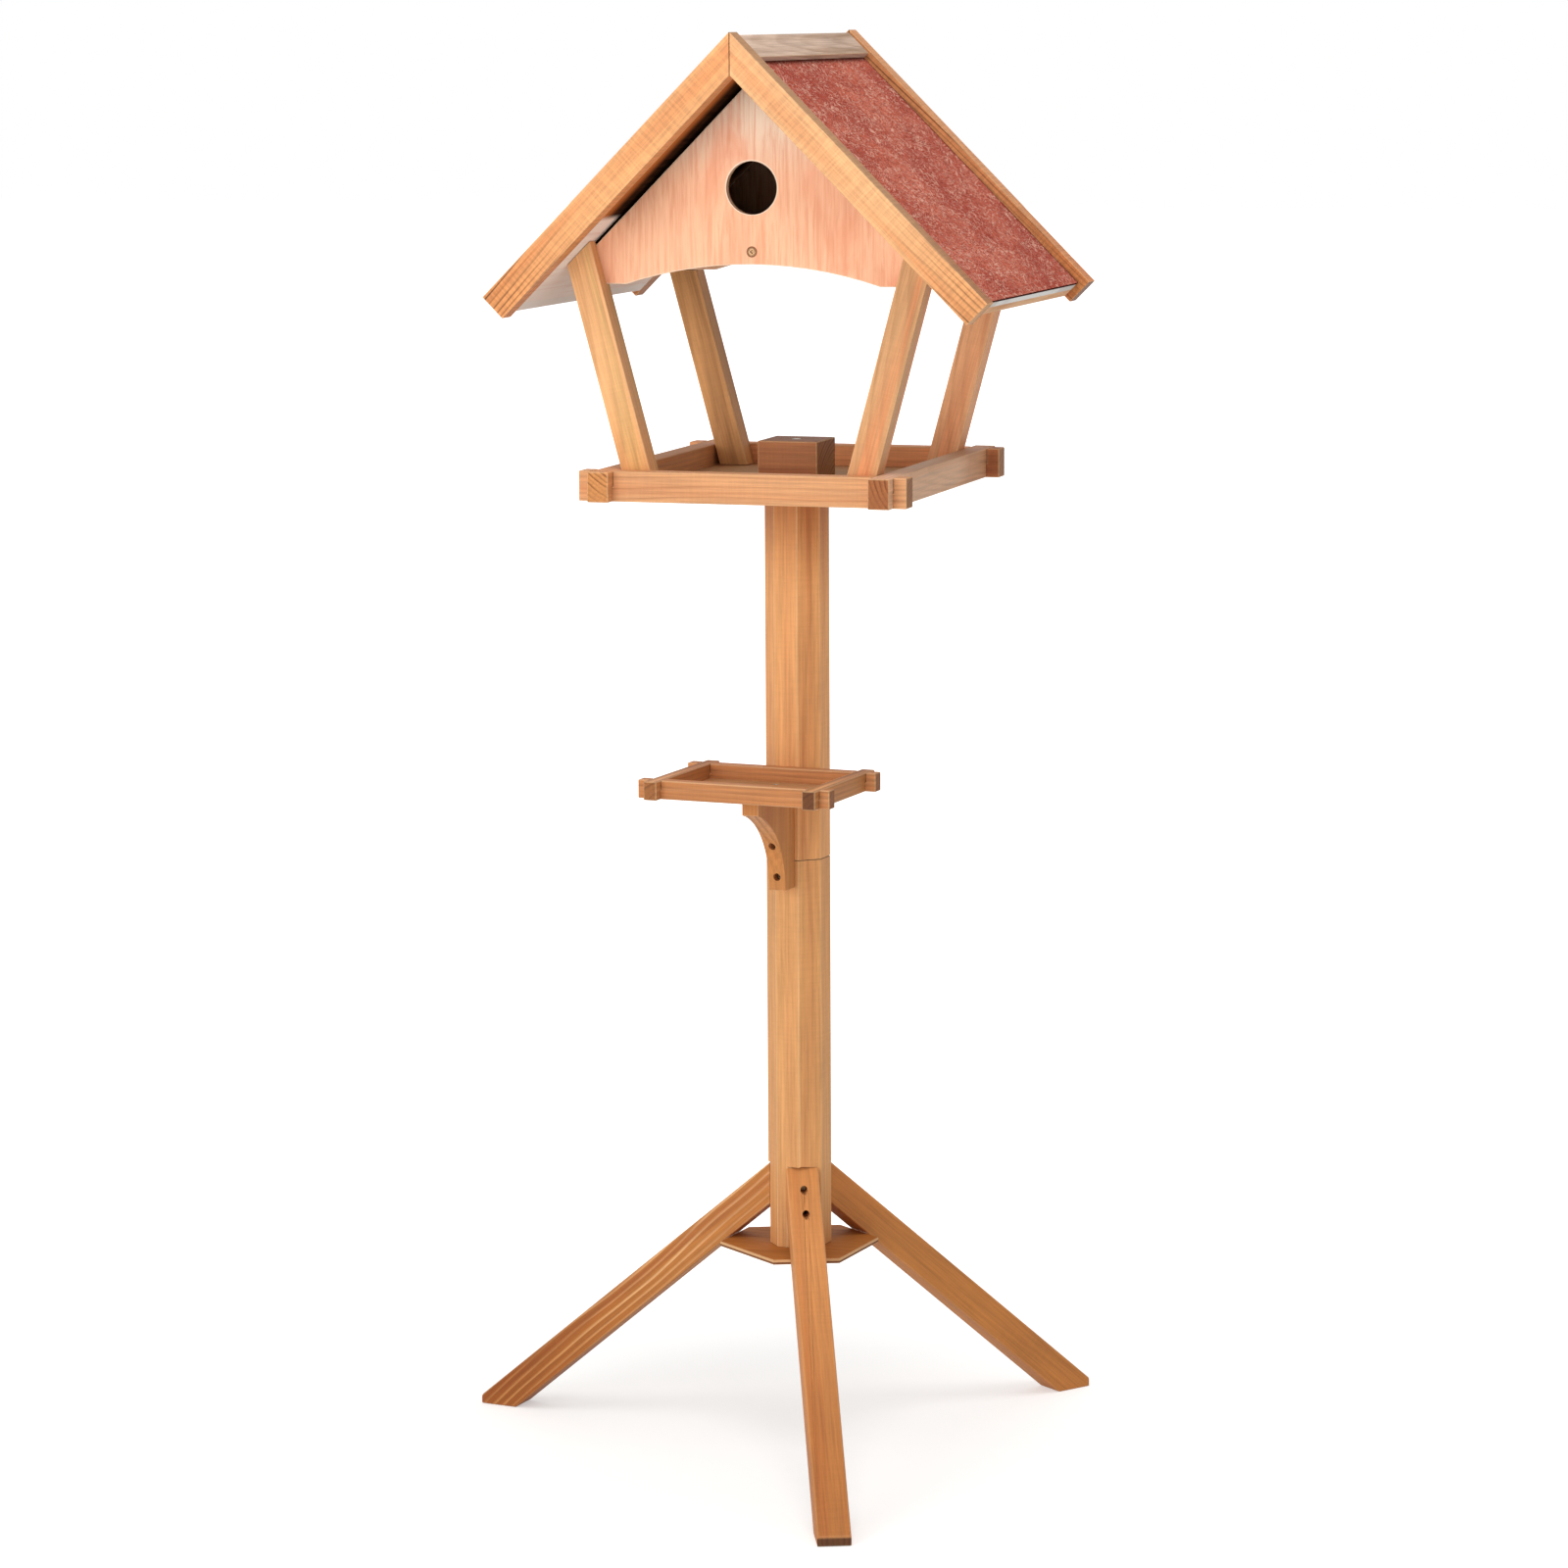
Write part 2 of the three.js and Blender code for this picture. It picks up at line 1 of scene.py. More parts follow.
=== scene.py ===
# %% [markdown]
# # A wooden bird table, piece by piece
# A free-standing bird table is a small joinery job: an eight-sided post on three splayed legs, an
# open tray, a small second tray on a bracket, and a gabled house with a nest space on four leaning
# uprights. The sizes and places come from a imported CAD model. In this lesson each stick gets eased
# edges, screws get their driver recess and thread, and every piece gets a material made of nodes.

import math

import bmesh
import bpy
from mathutils import Matrix, Vector, noise


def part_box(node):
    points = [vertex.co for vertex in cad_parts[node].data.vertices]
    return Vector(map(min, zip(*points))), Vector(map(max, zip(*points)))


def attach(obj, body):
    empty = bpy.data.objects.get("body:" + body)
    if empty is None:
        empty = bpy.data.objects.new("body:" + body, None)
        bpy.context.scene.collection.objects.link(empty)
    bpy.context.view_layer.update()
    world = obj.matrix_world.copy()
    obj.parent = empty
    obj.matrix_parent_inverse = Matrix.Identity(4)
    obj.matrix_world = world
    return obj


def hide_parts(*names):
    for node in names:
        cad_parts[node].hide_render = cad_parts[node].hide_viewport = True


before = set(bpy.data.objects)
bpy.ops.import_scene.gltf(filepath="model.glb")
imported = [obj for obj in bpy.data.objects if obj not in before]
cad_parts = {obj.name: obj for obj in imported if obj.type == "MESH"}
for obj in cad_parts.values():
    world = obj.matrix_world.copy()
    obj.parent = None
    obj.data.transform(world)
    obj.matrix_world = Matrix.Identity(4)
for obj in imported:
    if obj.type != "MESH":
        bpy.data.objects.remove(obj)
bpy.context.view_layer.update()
MM = 0.001

# %% [markdown]
# ## Where the post stands
# Everything on the stand is laid out round the post, so its axis is the first thing to read from
# the CAD boxes. The post and the small tray are turned a little under the house, and the middle of
# the small tray shows by how much.

# %% The axis of the post
X_WAY, Y_WAY, Z_WAY = Vector((1, 0, 0)), Vector((0, 1, 0)), Vector((0, 0, 1))


def middle(name):
    low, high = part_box(name)
    return (low + high) / 2


post_axis = middle("post_upper").xy


def outward(name):
    """The level way from the post's axis to the middle of a piece."""
    away = middle(name).xy - post_axis
    return Vector((away.x, away.y, 0)).normalized()


column_front = outward("small_tray_floor")
column_side = Z_WAY.cross(column_front)
print(f"post axis at {post_axis.x:.4f}, {post_axis.y:.4f}")

# %% [markdown]
# ## The camera
# The camera stands a little to the right of the front and looks slightly down, about five metres
# away. It comes first, because every later choice is judged through it. The turn is built from
# plain rotations: round to the azimuth, down by the pitch, and a hair of roll.

# %% The camera
CAMERA_AZIMUTH, CAMERA_PAN, CAMERA_PITCH, CAMERA_ROLL = 17.537, 0.164, 8.863, -0.285
CAMERA_DISTANCE, CAMERA_HEIGHT, CAMERA_LENS, SENSOR = 4.8080, 1.4115, 114.31, 36
FARTHEST_SEEN = 60

azimuth = math.radians(CAMERA_AZIMUTH)
eye = Vector((
    post_axis.x + CAMERA_DISTANCE * math.sin(azimuth),
    post_axis.y - CAMERA_DISTANCE * math.cos(azimuth),
    CAMERA_HEIGHT,
))
turn = (
    Matrix.Rotation(math.radians(CAMERA_AZIMUTH + CAMERA_PAN), 4, "Z")
    @ Matrix.Rotation(math.radians(90 - CAMERA_PITCH), 4, "X")
    @ Matrix.Rotation(math.radians(CAMERA_ROLL), 4, "Z")
)
camera_data = bpy.data.cameras.new("camera")
camera_data.sensor_width = SENSOR
camera_data.lens = CAMERA_LENS
camera_data.clip_end = FARTHEST_SEEN
camera = bpy.data.objects.new("camera", camera_data)
camera.matrix_world = Matrix.Translation(eye) @ turn
bpy.context.scene.collection.objects.link(camera)
bpy.context.scene.camera = camera
print("camera at", [round(x, 3) for x in eye])

# %% [markdown]
# ## Small helpers for materials
# A procedural material is a graph of nodes. Writing it out by hand is long, so a few short helpers
# make a node, set its sockets and join its inputs. An input is a socket of another node or a value.
# A named STEP holds the low and the high level of a soft step, and may add what comes out at each.

# %% Helpers for nodes
def feed(tree, socket, value):
    if isinstance(value, bpy.types.NodeSocket):
        tree.links.new(value, socket)
    else:
        socket.default_value = value


def node(tree, kind, inputs=None, **settings):
    made = tree.nodes.new(kind)
    for key, value in settings.items():
        setattr(made, key, value)
    for key, value in (inputs or {}).items():
        feed(tree, made.inputs[key], value)
    return made


def calc(tree, operation, *values):
    return node(tree, "ShaderNodeMath", dict(enumerate(values)), operation=operation).outputs[0]


def vector_calc(tree, operation, *values, output="Vector"):
    made = node(tree, "ShaderNodeVectorMath", dict(enumerate(values)), operation=operation)
    return made.outputs[output]


def split(tree, vector):
    return node(tree, "ShaderNodeSeparateXYZ", {0: vector}).outputs


def spread(tree, value, low, high, out_low=0.0, out_high=1.0):
    """A soft step from one level to another as a value rises from low to high."""
    return node(tree, "ShaderNodeMapRange", {
        "Value": value, "From Min": low, "From Max": high, "To Min": out_low, "To Max": out_high,
    }, interpolation_type="SMOOTHSTEP").outputs[0]


def swing(tree, value, reach):
    """Noise, which runs from 0 to 1, made to swing to both sides of zero."""
    return calc(tree, "MULTIPLY", calc(tree, "SUBTRACT", value, 0.5), reach)


print("helpers for sums ready")

# %% Helpers for places and colours
def own_place(tree):
    """Where on its piece a point of the surface lies, in metres."""
    return node(tree, "ShaderNodeTexCoord").outputs["Object"]


def facing(tree, way):
    """1 where the surface looks along a way, 0 where it is square to it, -1 where it looks back."""
    normal = node(tree, "ShaderNodeTexCoord").outputs["Normal"]
    return vector_calc(tree, "DOT_PRODUCT", normal, way, output="Value")


def stretched_noise(tree, place, cells, detail=3.0, rough=0.5, warp=0.0, output=0):
    """Cloudy noise with its own number of cells per metre along each axis."""
    return node(tree, "ShaderNodeTexNoise", {
        "Vector": vector_calc(tree, "MULTIPLY", place, cells), "Scale": 1.0,
        "Detail": detail, "Roughness": rough, "Distortion": warp,
    }).outputs[output]


def colour(red, green, blue):
    """A colour as a screen shows it, from 0 to 255, made linear for the shader by the usual curve."""
    def linear(value):
        share = value / 255
        return share / 12.92 if share <= 0.04045 else ((share + 0.055) / 1.055) ** 2.4
    return (linear(red), linear(green), linear(blue), 1.0)


def blend(tree, share, first, second, blend_type="MIX"):
    """First where the share is 0; where it is 1, the second, or both multiplied if the type says so."""
    return node(tree, "ShaderNodeMix", {0: share, 6: first, 7: second},
                data_type="RGBA", blend_type=blend_type).outputs[2]


def brighten(tree, tone, light):
    return node(tree, "ShaderNodeVectorMath", {0: tone, 3: light}, operation="SCALE").outputs[0]


print("helpers for places and colours ready")

# %% Helpers for materials
RELIEF = 0.4 * MM
ROUGH_STEP = 0.2, 0.8


def new_material(name):
    material = bpy.data.materials.new(name)
    material.use_nodes = True
    material.node_tree.nodes.clear()
    return material, material.node_tree


def finish_surface(tree, base, roughness, height, bump, reach=RELIEF, metallic=0.0, gloss=0.5):
    """The shader that each material ends with. Its relief is read from the height."""
    relief = node(tree, "ShaderNodeBump", {"Height": height, "Strength": bump, "Distance": reach})
    shader = node(tree, "ShaderNodeBsdfPrincipled", {
        "Base Color": base, "Roughness": roughness, "Metallic": metallic, "Specular IOR Level": gloss,
        "Normal": relief.outputs[0],
    })
    node(tree, "ShaderNodeOutputMaterial", {0: shader.outputs[0]})


print("helpers for materials ready")

# %% [markdown]
# ## The floor and the light
# The table stands on a plain pale floor under soft lamps and an even sky. To the camera the sky is
# white. A floor lit only by lamps would meet it in a grey line, so the floor also glows for the
# camera, faintly at the feet and up to white a little way out. Under the table the matt surface still
# shows, and keeps the soft shadow.

# %% The floor
FLOOR_HALF, FLOOR_GRAIN = 30.0, 40.0
GLOW_FROM, GLOW_TO, GLOW_AT_FEET, GLOW_AROUND = 0.15, 1.1, 0.4, 1.0
WHITE = (1, 1, 1, 1)


def seen(tree):
    """1 for what the camera sees, straight, in a mirror or through glass, 0 for light on the table."""
    ray = node(tree, "ShaderNodeLightPath").outputs
    bent = calc(tree, "MAXIMUM", ray["Is Glossy Ray"], ray["Is Transmission Ray"])
    return calc(tree, "MAXIMUM", ray["Is Camera Ray"], bent)


material, tree = new_material("studio_floor")
floor_spot = own_place(tree)
grain = node(tree, "ShaderNodeTexNoise", {"Vector": floor_spot, "Scale": FLOOR_GRAIN}).outputs[0]
matt = node(tree, "ShaderNodeBsdfDiffuse", {
    "Color": blend(tree, grain, colour(216, 215, 213), colour(220, 219, 217)),
})
from_feet = vector_calc(tree, "LENGTH", floor_spot, output="Value")
strength = spread(tree, from_feet, GLOW_FROM, GLOW_TO, GLOW_AT_FEET, GLOW_AROUND)
glow = node(tree, "ShaderNodeEmission", {
    "Color": WHITE, "Strength": calc(tree, "MULTIPLY", seen(tree), strength),
})
both = node(tree, "ShaderNodeAddShader", {0: matt.outputs[0], 1: glow.outputs[0]})
node(tree, "ShaderNodeOutputMaterial", {0: both.outputs[0]})

mesh = bmesh.new()
bmesh.ops.create_grid(mesh, x_segments=2, y_segments=2, size=FLOOR_HALF)
floor_mesh = bpy.data.meshes.new("studio_floor")
mesh.to_mesh(floor_mesh)
mesh.free()
floor_mesh.materials.append(material)
floor = bpy.data.objects.new("studio_floor", floor_mesh)
bpy.context.scene.collection.objects.link(floor)
print("floor laid")

# %% Lamps and sky
LOOK_AT = Vector((0, 0, 0.8))
SKY_LIGHT, SKY_SEEN = 0.64, 1.0


def area_lamp(name, place, breadth, power, tint=(1.0, 1.0, 1.0)):
    data = bpy.data.lights.new(name, "AREA")
    data.shape = "SQUARE"
    data.size = breadth
    data.energy = power
    data.color = tint
    lamp = bpy.data.objects.new(name, data)
    lamp.location = place
    lamp.rotation_euler = (LOOK_AT - Vector(place)).to_track_quat("-Z", "Y").to_euler()
    bpy.context.scene.collection.objects.link(lamp)


area_lamp("key_lamp", place=(-1.7, -4.4, 1.15), breadth=2.8, power=96, tint=(1.0, 0.995, 0.99))
area_lamp("fill_lamp", place=(0.9, -4.8, 0.9), breadth=1.6, power=18)
area_lamp("top_lamp", place=(0.5, -1.5, 4.5), breadth=2.0, power=54)

world = bpy.data.worlds.new("sky")
bpy.context.scene.world = world
world.use_nodes = True
sky = world.node_tree
sky.nodes.clear()
lit = node(sky, "ShaderNodeBackground", {
    "Color": WHITE, "Strength": spread(sky, seen(sky), 0.0, 1.0, SKY_LIGHT, SKY_SEEN),
})
node(sky, "ShaderNodeOutputWorld", {0: lit.outputs[0]})
bpy.context.scene.view_settings.view_transform = "Standard"
print("stage set")

# %% [markdown]
# ## From a CAD solid to an eased stick
# Real sticks of planed softwood have slightly rounded edges, because a sharp edge splinters and
# sheds its stain. A Bevel modifier could round them all, but that would spoil the small edges round
# the screw holes. Here a copy of the CAD mesh has its loose triangles merged and its flat faces
# joined, and a bevel takes off the long edges only. The new faces along the edges carry a mark, which
# the material reads to let the stain look worn and lighter there.

# %% Eased copies of the CAD pieces
SHARP = math.radians(20)
FLAT = math.radians(1.2)
WELD = 0.01 * MM
EDGE_MARK = "eased_edge"


def merged_copy(name):
    mesh = bmesh.new()
    mesh.from_mesh(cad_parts[name].data)
    bmesh.ops.remove_doubles(mesh, verts=mesh.verts, dist=WELD)
    bmesh.ops.dissolve_limit(mesh, angle_limit=FLAT, verts=mesh.verts, edges=mesh.edges)
    return mesh


def ease(mesh, amount, least, segments=3, spare=None):
    """Rounds every sharp edge longer than the least length, except those that spare picks out."""
    mark = mesh.faces.layers.float.new(EDGE_MARK)
    edges = [
        edge for edge in mesh.edges
        if edge.is_manifold and edge.calc_face_angle() > SHARP and edge.calc_length() > least
        and not (spare and spare(edge))
    ]
    made = bmesh.ops.bevel(
        mesh, geom=edges, offset=amount, offset_type="OFFSET", affect="EDGES",
        segments=segments, profile=0.5, material=-1, clamp_overlap=False,
    )
    for face in made["faces"]:
        face[mark] = 1.0


def eased(tree):
    """The mark as a material reads it: 1 on the eased edges, 0 elsewhere."""
    return node(tree, "ShaderNodeAttribute", attribute_name=EDGE_MARK).outputs["Fac"]


print("easing helpers ready")

# %% A finished piece
def new_piece(title, mesh, replaced, material, smooth=None):
    """Turns a bmesh into an object that takes the place of a CAD node."""
    data = bpy.data.meshes.new(title)
    mesh.to_mesh(data)
    mesh.free()
    for extra in list(data.uv_layers):
        data.uv_layers.remove(extra)
    if smooth:
        data.shade_smooth()
        data.set_sharp_from_angle(angle=smooth)
    else:
        data.shade_flat()
    data.materials.append(material)
    made = bpy.data.objects.new(title, data)
    bpy.context.scene.collection.objects.link(made)
    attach(made, "root")
    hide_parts(replaced)


print("pieces can be made")

# %% [markdown]
# ## Softwood
# A plank is cut out of a log, so its figure is a slice through a stack of thin cones: the growth
# rings. Stripes drawn along a stick would break at its corners. Here the material works as the log
# does. It turns Object coordinates into the plank's own frame, along, across and through, measures
# the distance from a heart line, which may lie beside the plank or inside it, and lets that distance
# run through pale early wood and darker late wood. End grain comes out of it for nothing, because
# the same rings are cut square there. Finer noise adds fibres, streaks, clouds and the faint cross
# marks of the saw.

# %% The sockets of the softwood figure
# Heart and Slope place the heart line, Way and Up are directions, Ring is the width of a ring, Late
# is where its dark wood starts, and From and To are where the stain and painted shade set in along the
# plank.
FIGURE_SOCKETS = {
    "Vector": ("Plank", "Heart", "Slope", "Way", "Up"),
    "Color": ("Pale", "Dark", "Streak", "End", "StainAndShade"),
    "Float": ("Ring", "Wave", "Late", "Contrast", "Streaks", "Clouds", "Fibres", "Saw",
              "From", "To", "Stripes", "Weathered", "Worn"),
}

softwood = bpy.data.node_groups.new("softwood_figure", "ShaderNodeTree")
for kind, titles in FIGURE_SOCKETS.items():
    for title in titles:
        softwood.interface.new_socket(title, in_out="INPUT", socket_type=f"NodeSocket{kind}")
for title, kind in (("Color", "Color"), ("Height", "Float"), ("Roughness", "Float")):
    softwood.interface.new_socket(title, in_out="OUTPUT", socket_type=f"NodeSocket{kind}")
given = node(softwood, "NodeGroupInput").outputs
plank = given["Plank"]
print(sum(len(titles) for titles in FIGURE_SOCKETS.values()), "sockets")

# %% Growth rings
UNEVEN = 3.0 * MM
RING_PEAK, RING_END = 0.84, 0.88
FAINT_RING, FAINT_PATCH = 0.3, 0.35
PATCH_STEP = 0.34, 0.6


def wood(operation, *values):
    """One sum inside the softwood figure."""
    return calc(softwood, operation, *values)


def plank_noise(*cells, **settings):
    """Noise with its own number of cells per metre along, across and through the plank."""
    return stretched_noise(softwood, plank, cells, **settings)


parts, heart, slope = [split(softwood, vector) for vector in (plank, given["Heart"], given["Slope"])]
sway = split(softwood, plank_noise(4.0, 7.0, 7.0, detail=2.0, output="Color"))


def from_heart(axis):
    """Distance from the heart line along one axis, with its drift and its slow wave."""
    drift = wood("MULTIPLY", parts[0], slope[axis])
    shifted = wood("SUBTRACT", parts[axis], heart[axis])
    return wood("ADD", wood("ADD", shifted, drift), swing(softwood, sway[axis], given["Wave"]))


squares = [wood("MULTIPLY", apart, apart) for apart in (from_heart(1), from_heart(2))]
uneven = wood("MULTIPLY", plank_noise(1.5, 60.0, 60.0, detail=2.0), UNEVEN)
rings = wood("DIVIDE", wood("ADD", wood("SQRT", wood("ADD", *squares)), uneven), given["Ring"])
phase = wood("FRACT", rings)
bold = node(softwood, "ShaderNodeTexWhiteNoise", {"W": wood("FLOOR", rings)}, noise_dimensions="1D")
come_and_go = plank_noise(5.0, 22.0, 22.0, detail=2.0)
late = spread(softwood, phase, given["Late"], RING_PEAK)
for share in (
    spread(softwood, phase, RING_END, 1.0, 1.0, 0.0),
    spread(softwood, bold.outputs["Value"], 0.0, 1.0, FAINT_RING, 1.0),
    spread(softwood, come_and_go, *PATCH_STEP, FAINT_PATCH, 1.0),
):
    late = wood("MULTIPLY", late, share)
print("rings made")

# %% Fibres, streaks, clouds and saw marks
fibres = plank_noise(12.0, 420.0, 420.0, detail=5.0, rough=0.7)
clouds = plank_noise(4.5, 18.0, 18.0, rough=0.55, warp=0.5)
long_streaks = plank_noise(1.8, 75.0, 75.0, detail=4.0, rough=0.6, warp=0.3)
saw_lines = plank_noise(420.0, 40.0, 40.0, detail=2.0)
saw_patch = plank_noise(9.0, 14.0, 14.0, detail=2.0)
print("noises laid along the plank")

# %% The tone of a planed face
RAGGED = 60.0 * MM
STREAK_STEP, TOP_STEP = (0.46, 0.72), (0.5, 0.8)
WEATHER_SHARES = (0.52, 0.5, 0.46, 1.0)

ragged = wood("ADD", parts[0], swing(softwood, long_streaks, RAGGED))
stained = spread(softwood, ragged, given["From"], given["To"])
striped = wood("ADD", given["Contrast"], wood("MULTIPLY", stained, given["Stripes"]))
tone = blend(softwood, wood("MULTIPLY", late, striped), given["Pale"], given["Dark"])
streaked = wood("MULTIPLY", spread(softwood, long_streaks, *STREAK_STEP), given["Streaks"])
tone = blend(softwood, streaked, tone, given["Streak"])
tone = blend(softwood, stained, tone, given["StainAndShade"], "MULTIPLY")
upward = spread(softwood, facing(softwood, given["Up"]), *TOP_STEP)
weathered = wood("MULTIPLY", upward, given["Weathered"])
tone = blend(softwood, weathered, tone, WEATHER_SHARES, "MULTIPLY")
print("planed faces toned")

# %% Sawn ends and worn edges
END_STEP = 0.45, 0.8
END_CONTRAST, END_LATE_SHARES = 0.95, (0.4, 0.3, 0.24)

sawn_end = spread(softwood, wood("ABSOLUTE", facing(softwood, given["Way"])), *END_STEP)
end_late = vector_calc(softwood, "MULTIPLY", given["End"], END_LATE_SHARES)
end_tone = blend(softwood, wood("MULTIPLY", late, END_CONTRAST), given["End"], end_late)
tone = blend(softwood, sawn_end, tone, end_tone)
worn_share = wood("MULTIPLY", eased(softwood), given["Worn"])
tone = blend(softwood, worn_share, tone, colour(240, 196, 146))
print("ends and edges toned")

# %% Light and dark, relief and roughness
FIBRE_STEP, SAW_STEP, SAW_PATCH_STEP = (0.25, 0.75), (0.35, 0.65), (0.3, 0.6)
FAINT_SAW = 0.3
FIBRE_RELIEF, RING_RELIEF, SAW_RELIEF = 0.7, 0.4, 3.0
SMOOTHEST, ROUGHEST = 0.52, 0.68

fibrous = wood("MULTIPLY", spread(softwood, fibres, *FIBRE_STEP, -1.0, 1.0), given["Fibres"])
saw_mark = wood("MULTIPLY", spread(softwood, saw_lines, *SAW_STEP, -1.0, 1.0),
                spread(softwood, saw_patch, *SAW_PATCH_STEP, FAINT_SAW, 1.0))
sawn = wood("MULTIPLY", saw_mark, given["Saw"])
clouded = wood("ADD", wood("SUBTRACT", 1.0, sawn), swing(softwood, clouds, given["Clouds"]))
coarse = wood("SUBTRACT", wood("MULTIPLY", late, RING_RELIEF), wood("MULTIPLY", sawn, SAW_RELIEF))
node(softwood, "NodeGroupOutput", {
    "Color": brighten(softwood, tone, wood("ADD", clouded, fibrous)),
    "Height": wood("ADD", wood("MULTIPLY", fibres, FIBRE_RELIEF), coarse),
    "Roughness": spread(softwood, fibres, *ROUGH_STEP, SMOOTHEST, ROUGHEST),
})
print("softwood figure made of", len(softwood.nodes), "nodes")

# %% [markdown]
# ## Plank frames and stains
# Each stick has its own heart line and its own mix of the stain, because no two sticks come from the
# same place in a log. On the upper post and the right leg the same mix paints shade. A texture laid on
# from outside would slide along the leaning sticks, so a Mapping node carries Object coordinates into
# the stick's own frame, and the figure runs along it.

# %% Plank frames
def plank_ways(along, through):
    """A plank's own three ways: along it, across it and through it."""
    x = along.normalized()
    z = (through - x * through.dot(x)).normalized()
    return x, z.cross(x), z


def reaches(name, way):
    """How far each corner of a CAD piece lies along a way."""
    return [vert.co.dot(way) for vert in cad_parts[name].data.vertices]


def own_middle(name, along, through):
    """The middle of a leaning piece, measured along its own three ways."""
    place = Vector()
    for way in plank_ways(along, through):
        reach = reaches(name, way)
        place += way * (min(reach) + max(reach)) / 2
    return place


def plank_place(tree, place, along, through):
    """Object coordinates carried into a plank's own frame."""
    tilt = Matrix(plank_ways(along, through)).transposed().to_euler()
    return node(tree, "ShaderNodeMapping", {
        "Vector": own_place(tree), "Location": tuple(place), "Rotation": tuple(tilt),
    }, vector_type="TEXTURE").outputs[0]


print("plank frames ready")

# %% Plank materials
LATE_SHARES, STREAK_SHARES = (1.02, 0.96, 0.9), (0.94, 0.8, 0.72)


def scaled(tone, red, green=None, blue=None):
    """A tone darkened by one share, or with a share of its own for red, green and blue."""
    shares = (red, green or red, blue or red)
    return tuple(value * share for value, share in zip(tone, shares))


def plank_material(name, place, along, through, tone, dark=0.78, late_tone=None, streak=None,
                   end=(150, 96, 48), heart=(60, 40), slope=(0.01, 0.01), ring=4.0, wave=6.0, late=0.3,
                   contrast=0.45, streaks=0.35, clouds=0.45, fibres=0.17, saw=0.02, stain=(1, 1, 1),
                   fade=(0, 1000), stripes=0.0, up=Z_WAY, weathered=0.0, worn=0.32, gloss=0.25):
    """Softwood of one tone. Lengths are in millimetres; the stain multiplies the tone past the fade. It is a
    real stain on most sticks, and painted shade on the upper post and the right leg.
    """
    material, tree = new_material(name)
    late_tone = late_tone or scaled(scaled(tone, *LATE_SHARES), dark)
    streak = streak or scaled(tone, *STREAK_SHARES)
    figure = node(tree, "ShaderNodeGroup", {
        "Plank": plank_place(tree, place, along, through), "Way": tuple(along.normalized()),
        "Heart": (0.0, heart[0] * MM, heart[1] * MM), "Slope": (0.0, *slope), "Up": tuple(up),
        "Ring": ring * MM, "Wave": wave * MM, "Late": late, "Contrast": contrast, "Streaks": streaks,
        "Clouds": clouds, "Fibres": fibres, "Saw": saw, "Pale": colour(*tone),
        "Dark": colour(*late_tone), "Streak": colour(*streak), "End": colour(*end),
        "StainAndShade": (*stain, 1.0), "From": fade[0] * MM, "To": fade[1] * MM, "Stripes": stripes,
        "Weathered": weathered, "Worn": worn,
    }, node_tree=softwood).outputs
    finish_surface(tree, figure["Color"], figure["Roughness"], figure["Height"], bump=0.4, gloss=gloss)
    return material


print("stains ready")

# %% [markdown]
# ## The sticks of the table
# Every stick is listed once: the way its grain runs, the face that it was sawn parallel to, its tone
# and its figure. Each could have code of its own, but they differ in no more than this, so one list
# and one loop do for all, and a stick that says nothing more gets the usual figure.

# %% The stand
LEG_SLOPE = math.radians(40)
UPRIGHT_LEAN = math.radians(15.2)
ROOF_SLOPE = math.radians(45)
sticks = []


def stick(name, along, through, tone, slot_name, easing=1.2, least=12.0, **figure):
    """Lists a stick. Its easing and the shortest edge that is eased are in millimetres."""
    sticks.append((name, along, through, tone, slot_name, easing, least, figure))


def leg_ways(name):
    """Down a leg, and square to it on the level."""
    level = outward(name)
    return level * math.cos(LEG_SLOPE) - Z_WAY * math.sin(LEG_SLOPE), level.cross(Z_WAY)


for side, tone, figure in (
    # The front leg's end grain is darker than the other legs': painted shade on the cut under its foot.
    ("front", (202, 134, 76), dict(
        ring=5.0, heart=(12, 60), contrast=0.3, clouds=0.5, streaks=0.45, stain=(0.77, 0.69, 0.56),
        fade=(-100, 180), end=(92, 56, 30))),
    # The right leg darkens towards the post: painted shade where it meets the post.
    ("right", (195, 126, 65), dict(
        ring=6.0, heart=(40, 60), contrast=0.3, clouds=0.6, streaks=0.4, streak=(176, 106, 56),
        stain=(0.91, 0.88, 0.86), fade=(-90, -170))),
    ("left", (182, 117, 58), dict(
        ring=6.4, heart=(60, 16), slope=(0.02, 0.03), wave=20.0, late_tone=(240, 189, 134), late=0.5,
        contrast=0.92, streaks=0.55, streak=(160, 90, 46), stain=(0.66, 0.5, 0.34), fade=(-160, 200))),
):
    along, through = leg_ways(f"leg_{side}")
    stick(f"leg_{side}", along, through, tone, "honey_wood", easing=1.6, worn=0.1, **figure)

for name, tone, figure in (
    # The upper post darkens towards its top: painted shade under the tray.
    ("post_upper", (235, 169, 108), dict(
        ring=5.0, heart=(14, 16), slope=(0.05, 0.03), wave=16.0, contrast=0.26, clouds=0.62,
        streak=(196, 116, 68), streaks=0.55, stain=(0.64, 0.51, 0.43), fade=(70, 180))),
    ("post_lower", (218, 158, 100), dict(
        ring=5.5, heart=(-16, 20), slope=(-0.04, 0.02), wave=14.0, contrast=0.2, clouds=0.6,
        streak=(200, 126, 78), streaks=0.42, stain=(0.84, 0.78, 0.72), fade=(-100, -240))),
):
    stick(name, Z_WAY, column_front, tone, "honey_wood", easing=0.9, least=18.0, **figure)
stick("bracket", Z_WAY, column_side, (198, 132, 74), "honey_wood", easing=0.7, ring=7.0,
      heart=(20, 60), contrast=0.3, streaks=0.5, clouds=0.5, end=(206, 146, 98))
stick("tray_block", X_WAY, Y_WAY, (172, 112, 72), "dark_wood", ring=5.0, contrast=0.4)
print(len(sticks), "sticks of the stand")

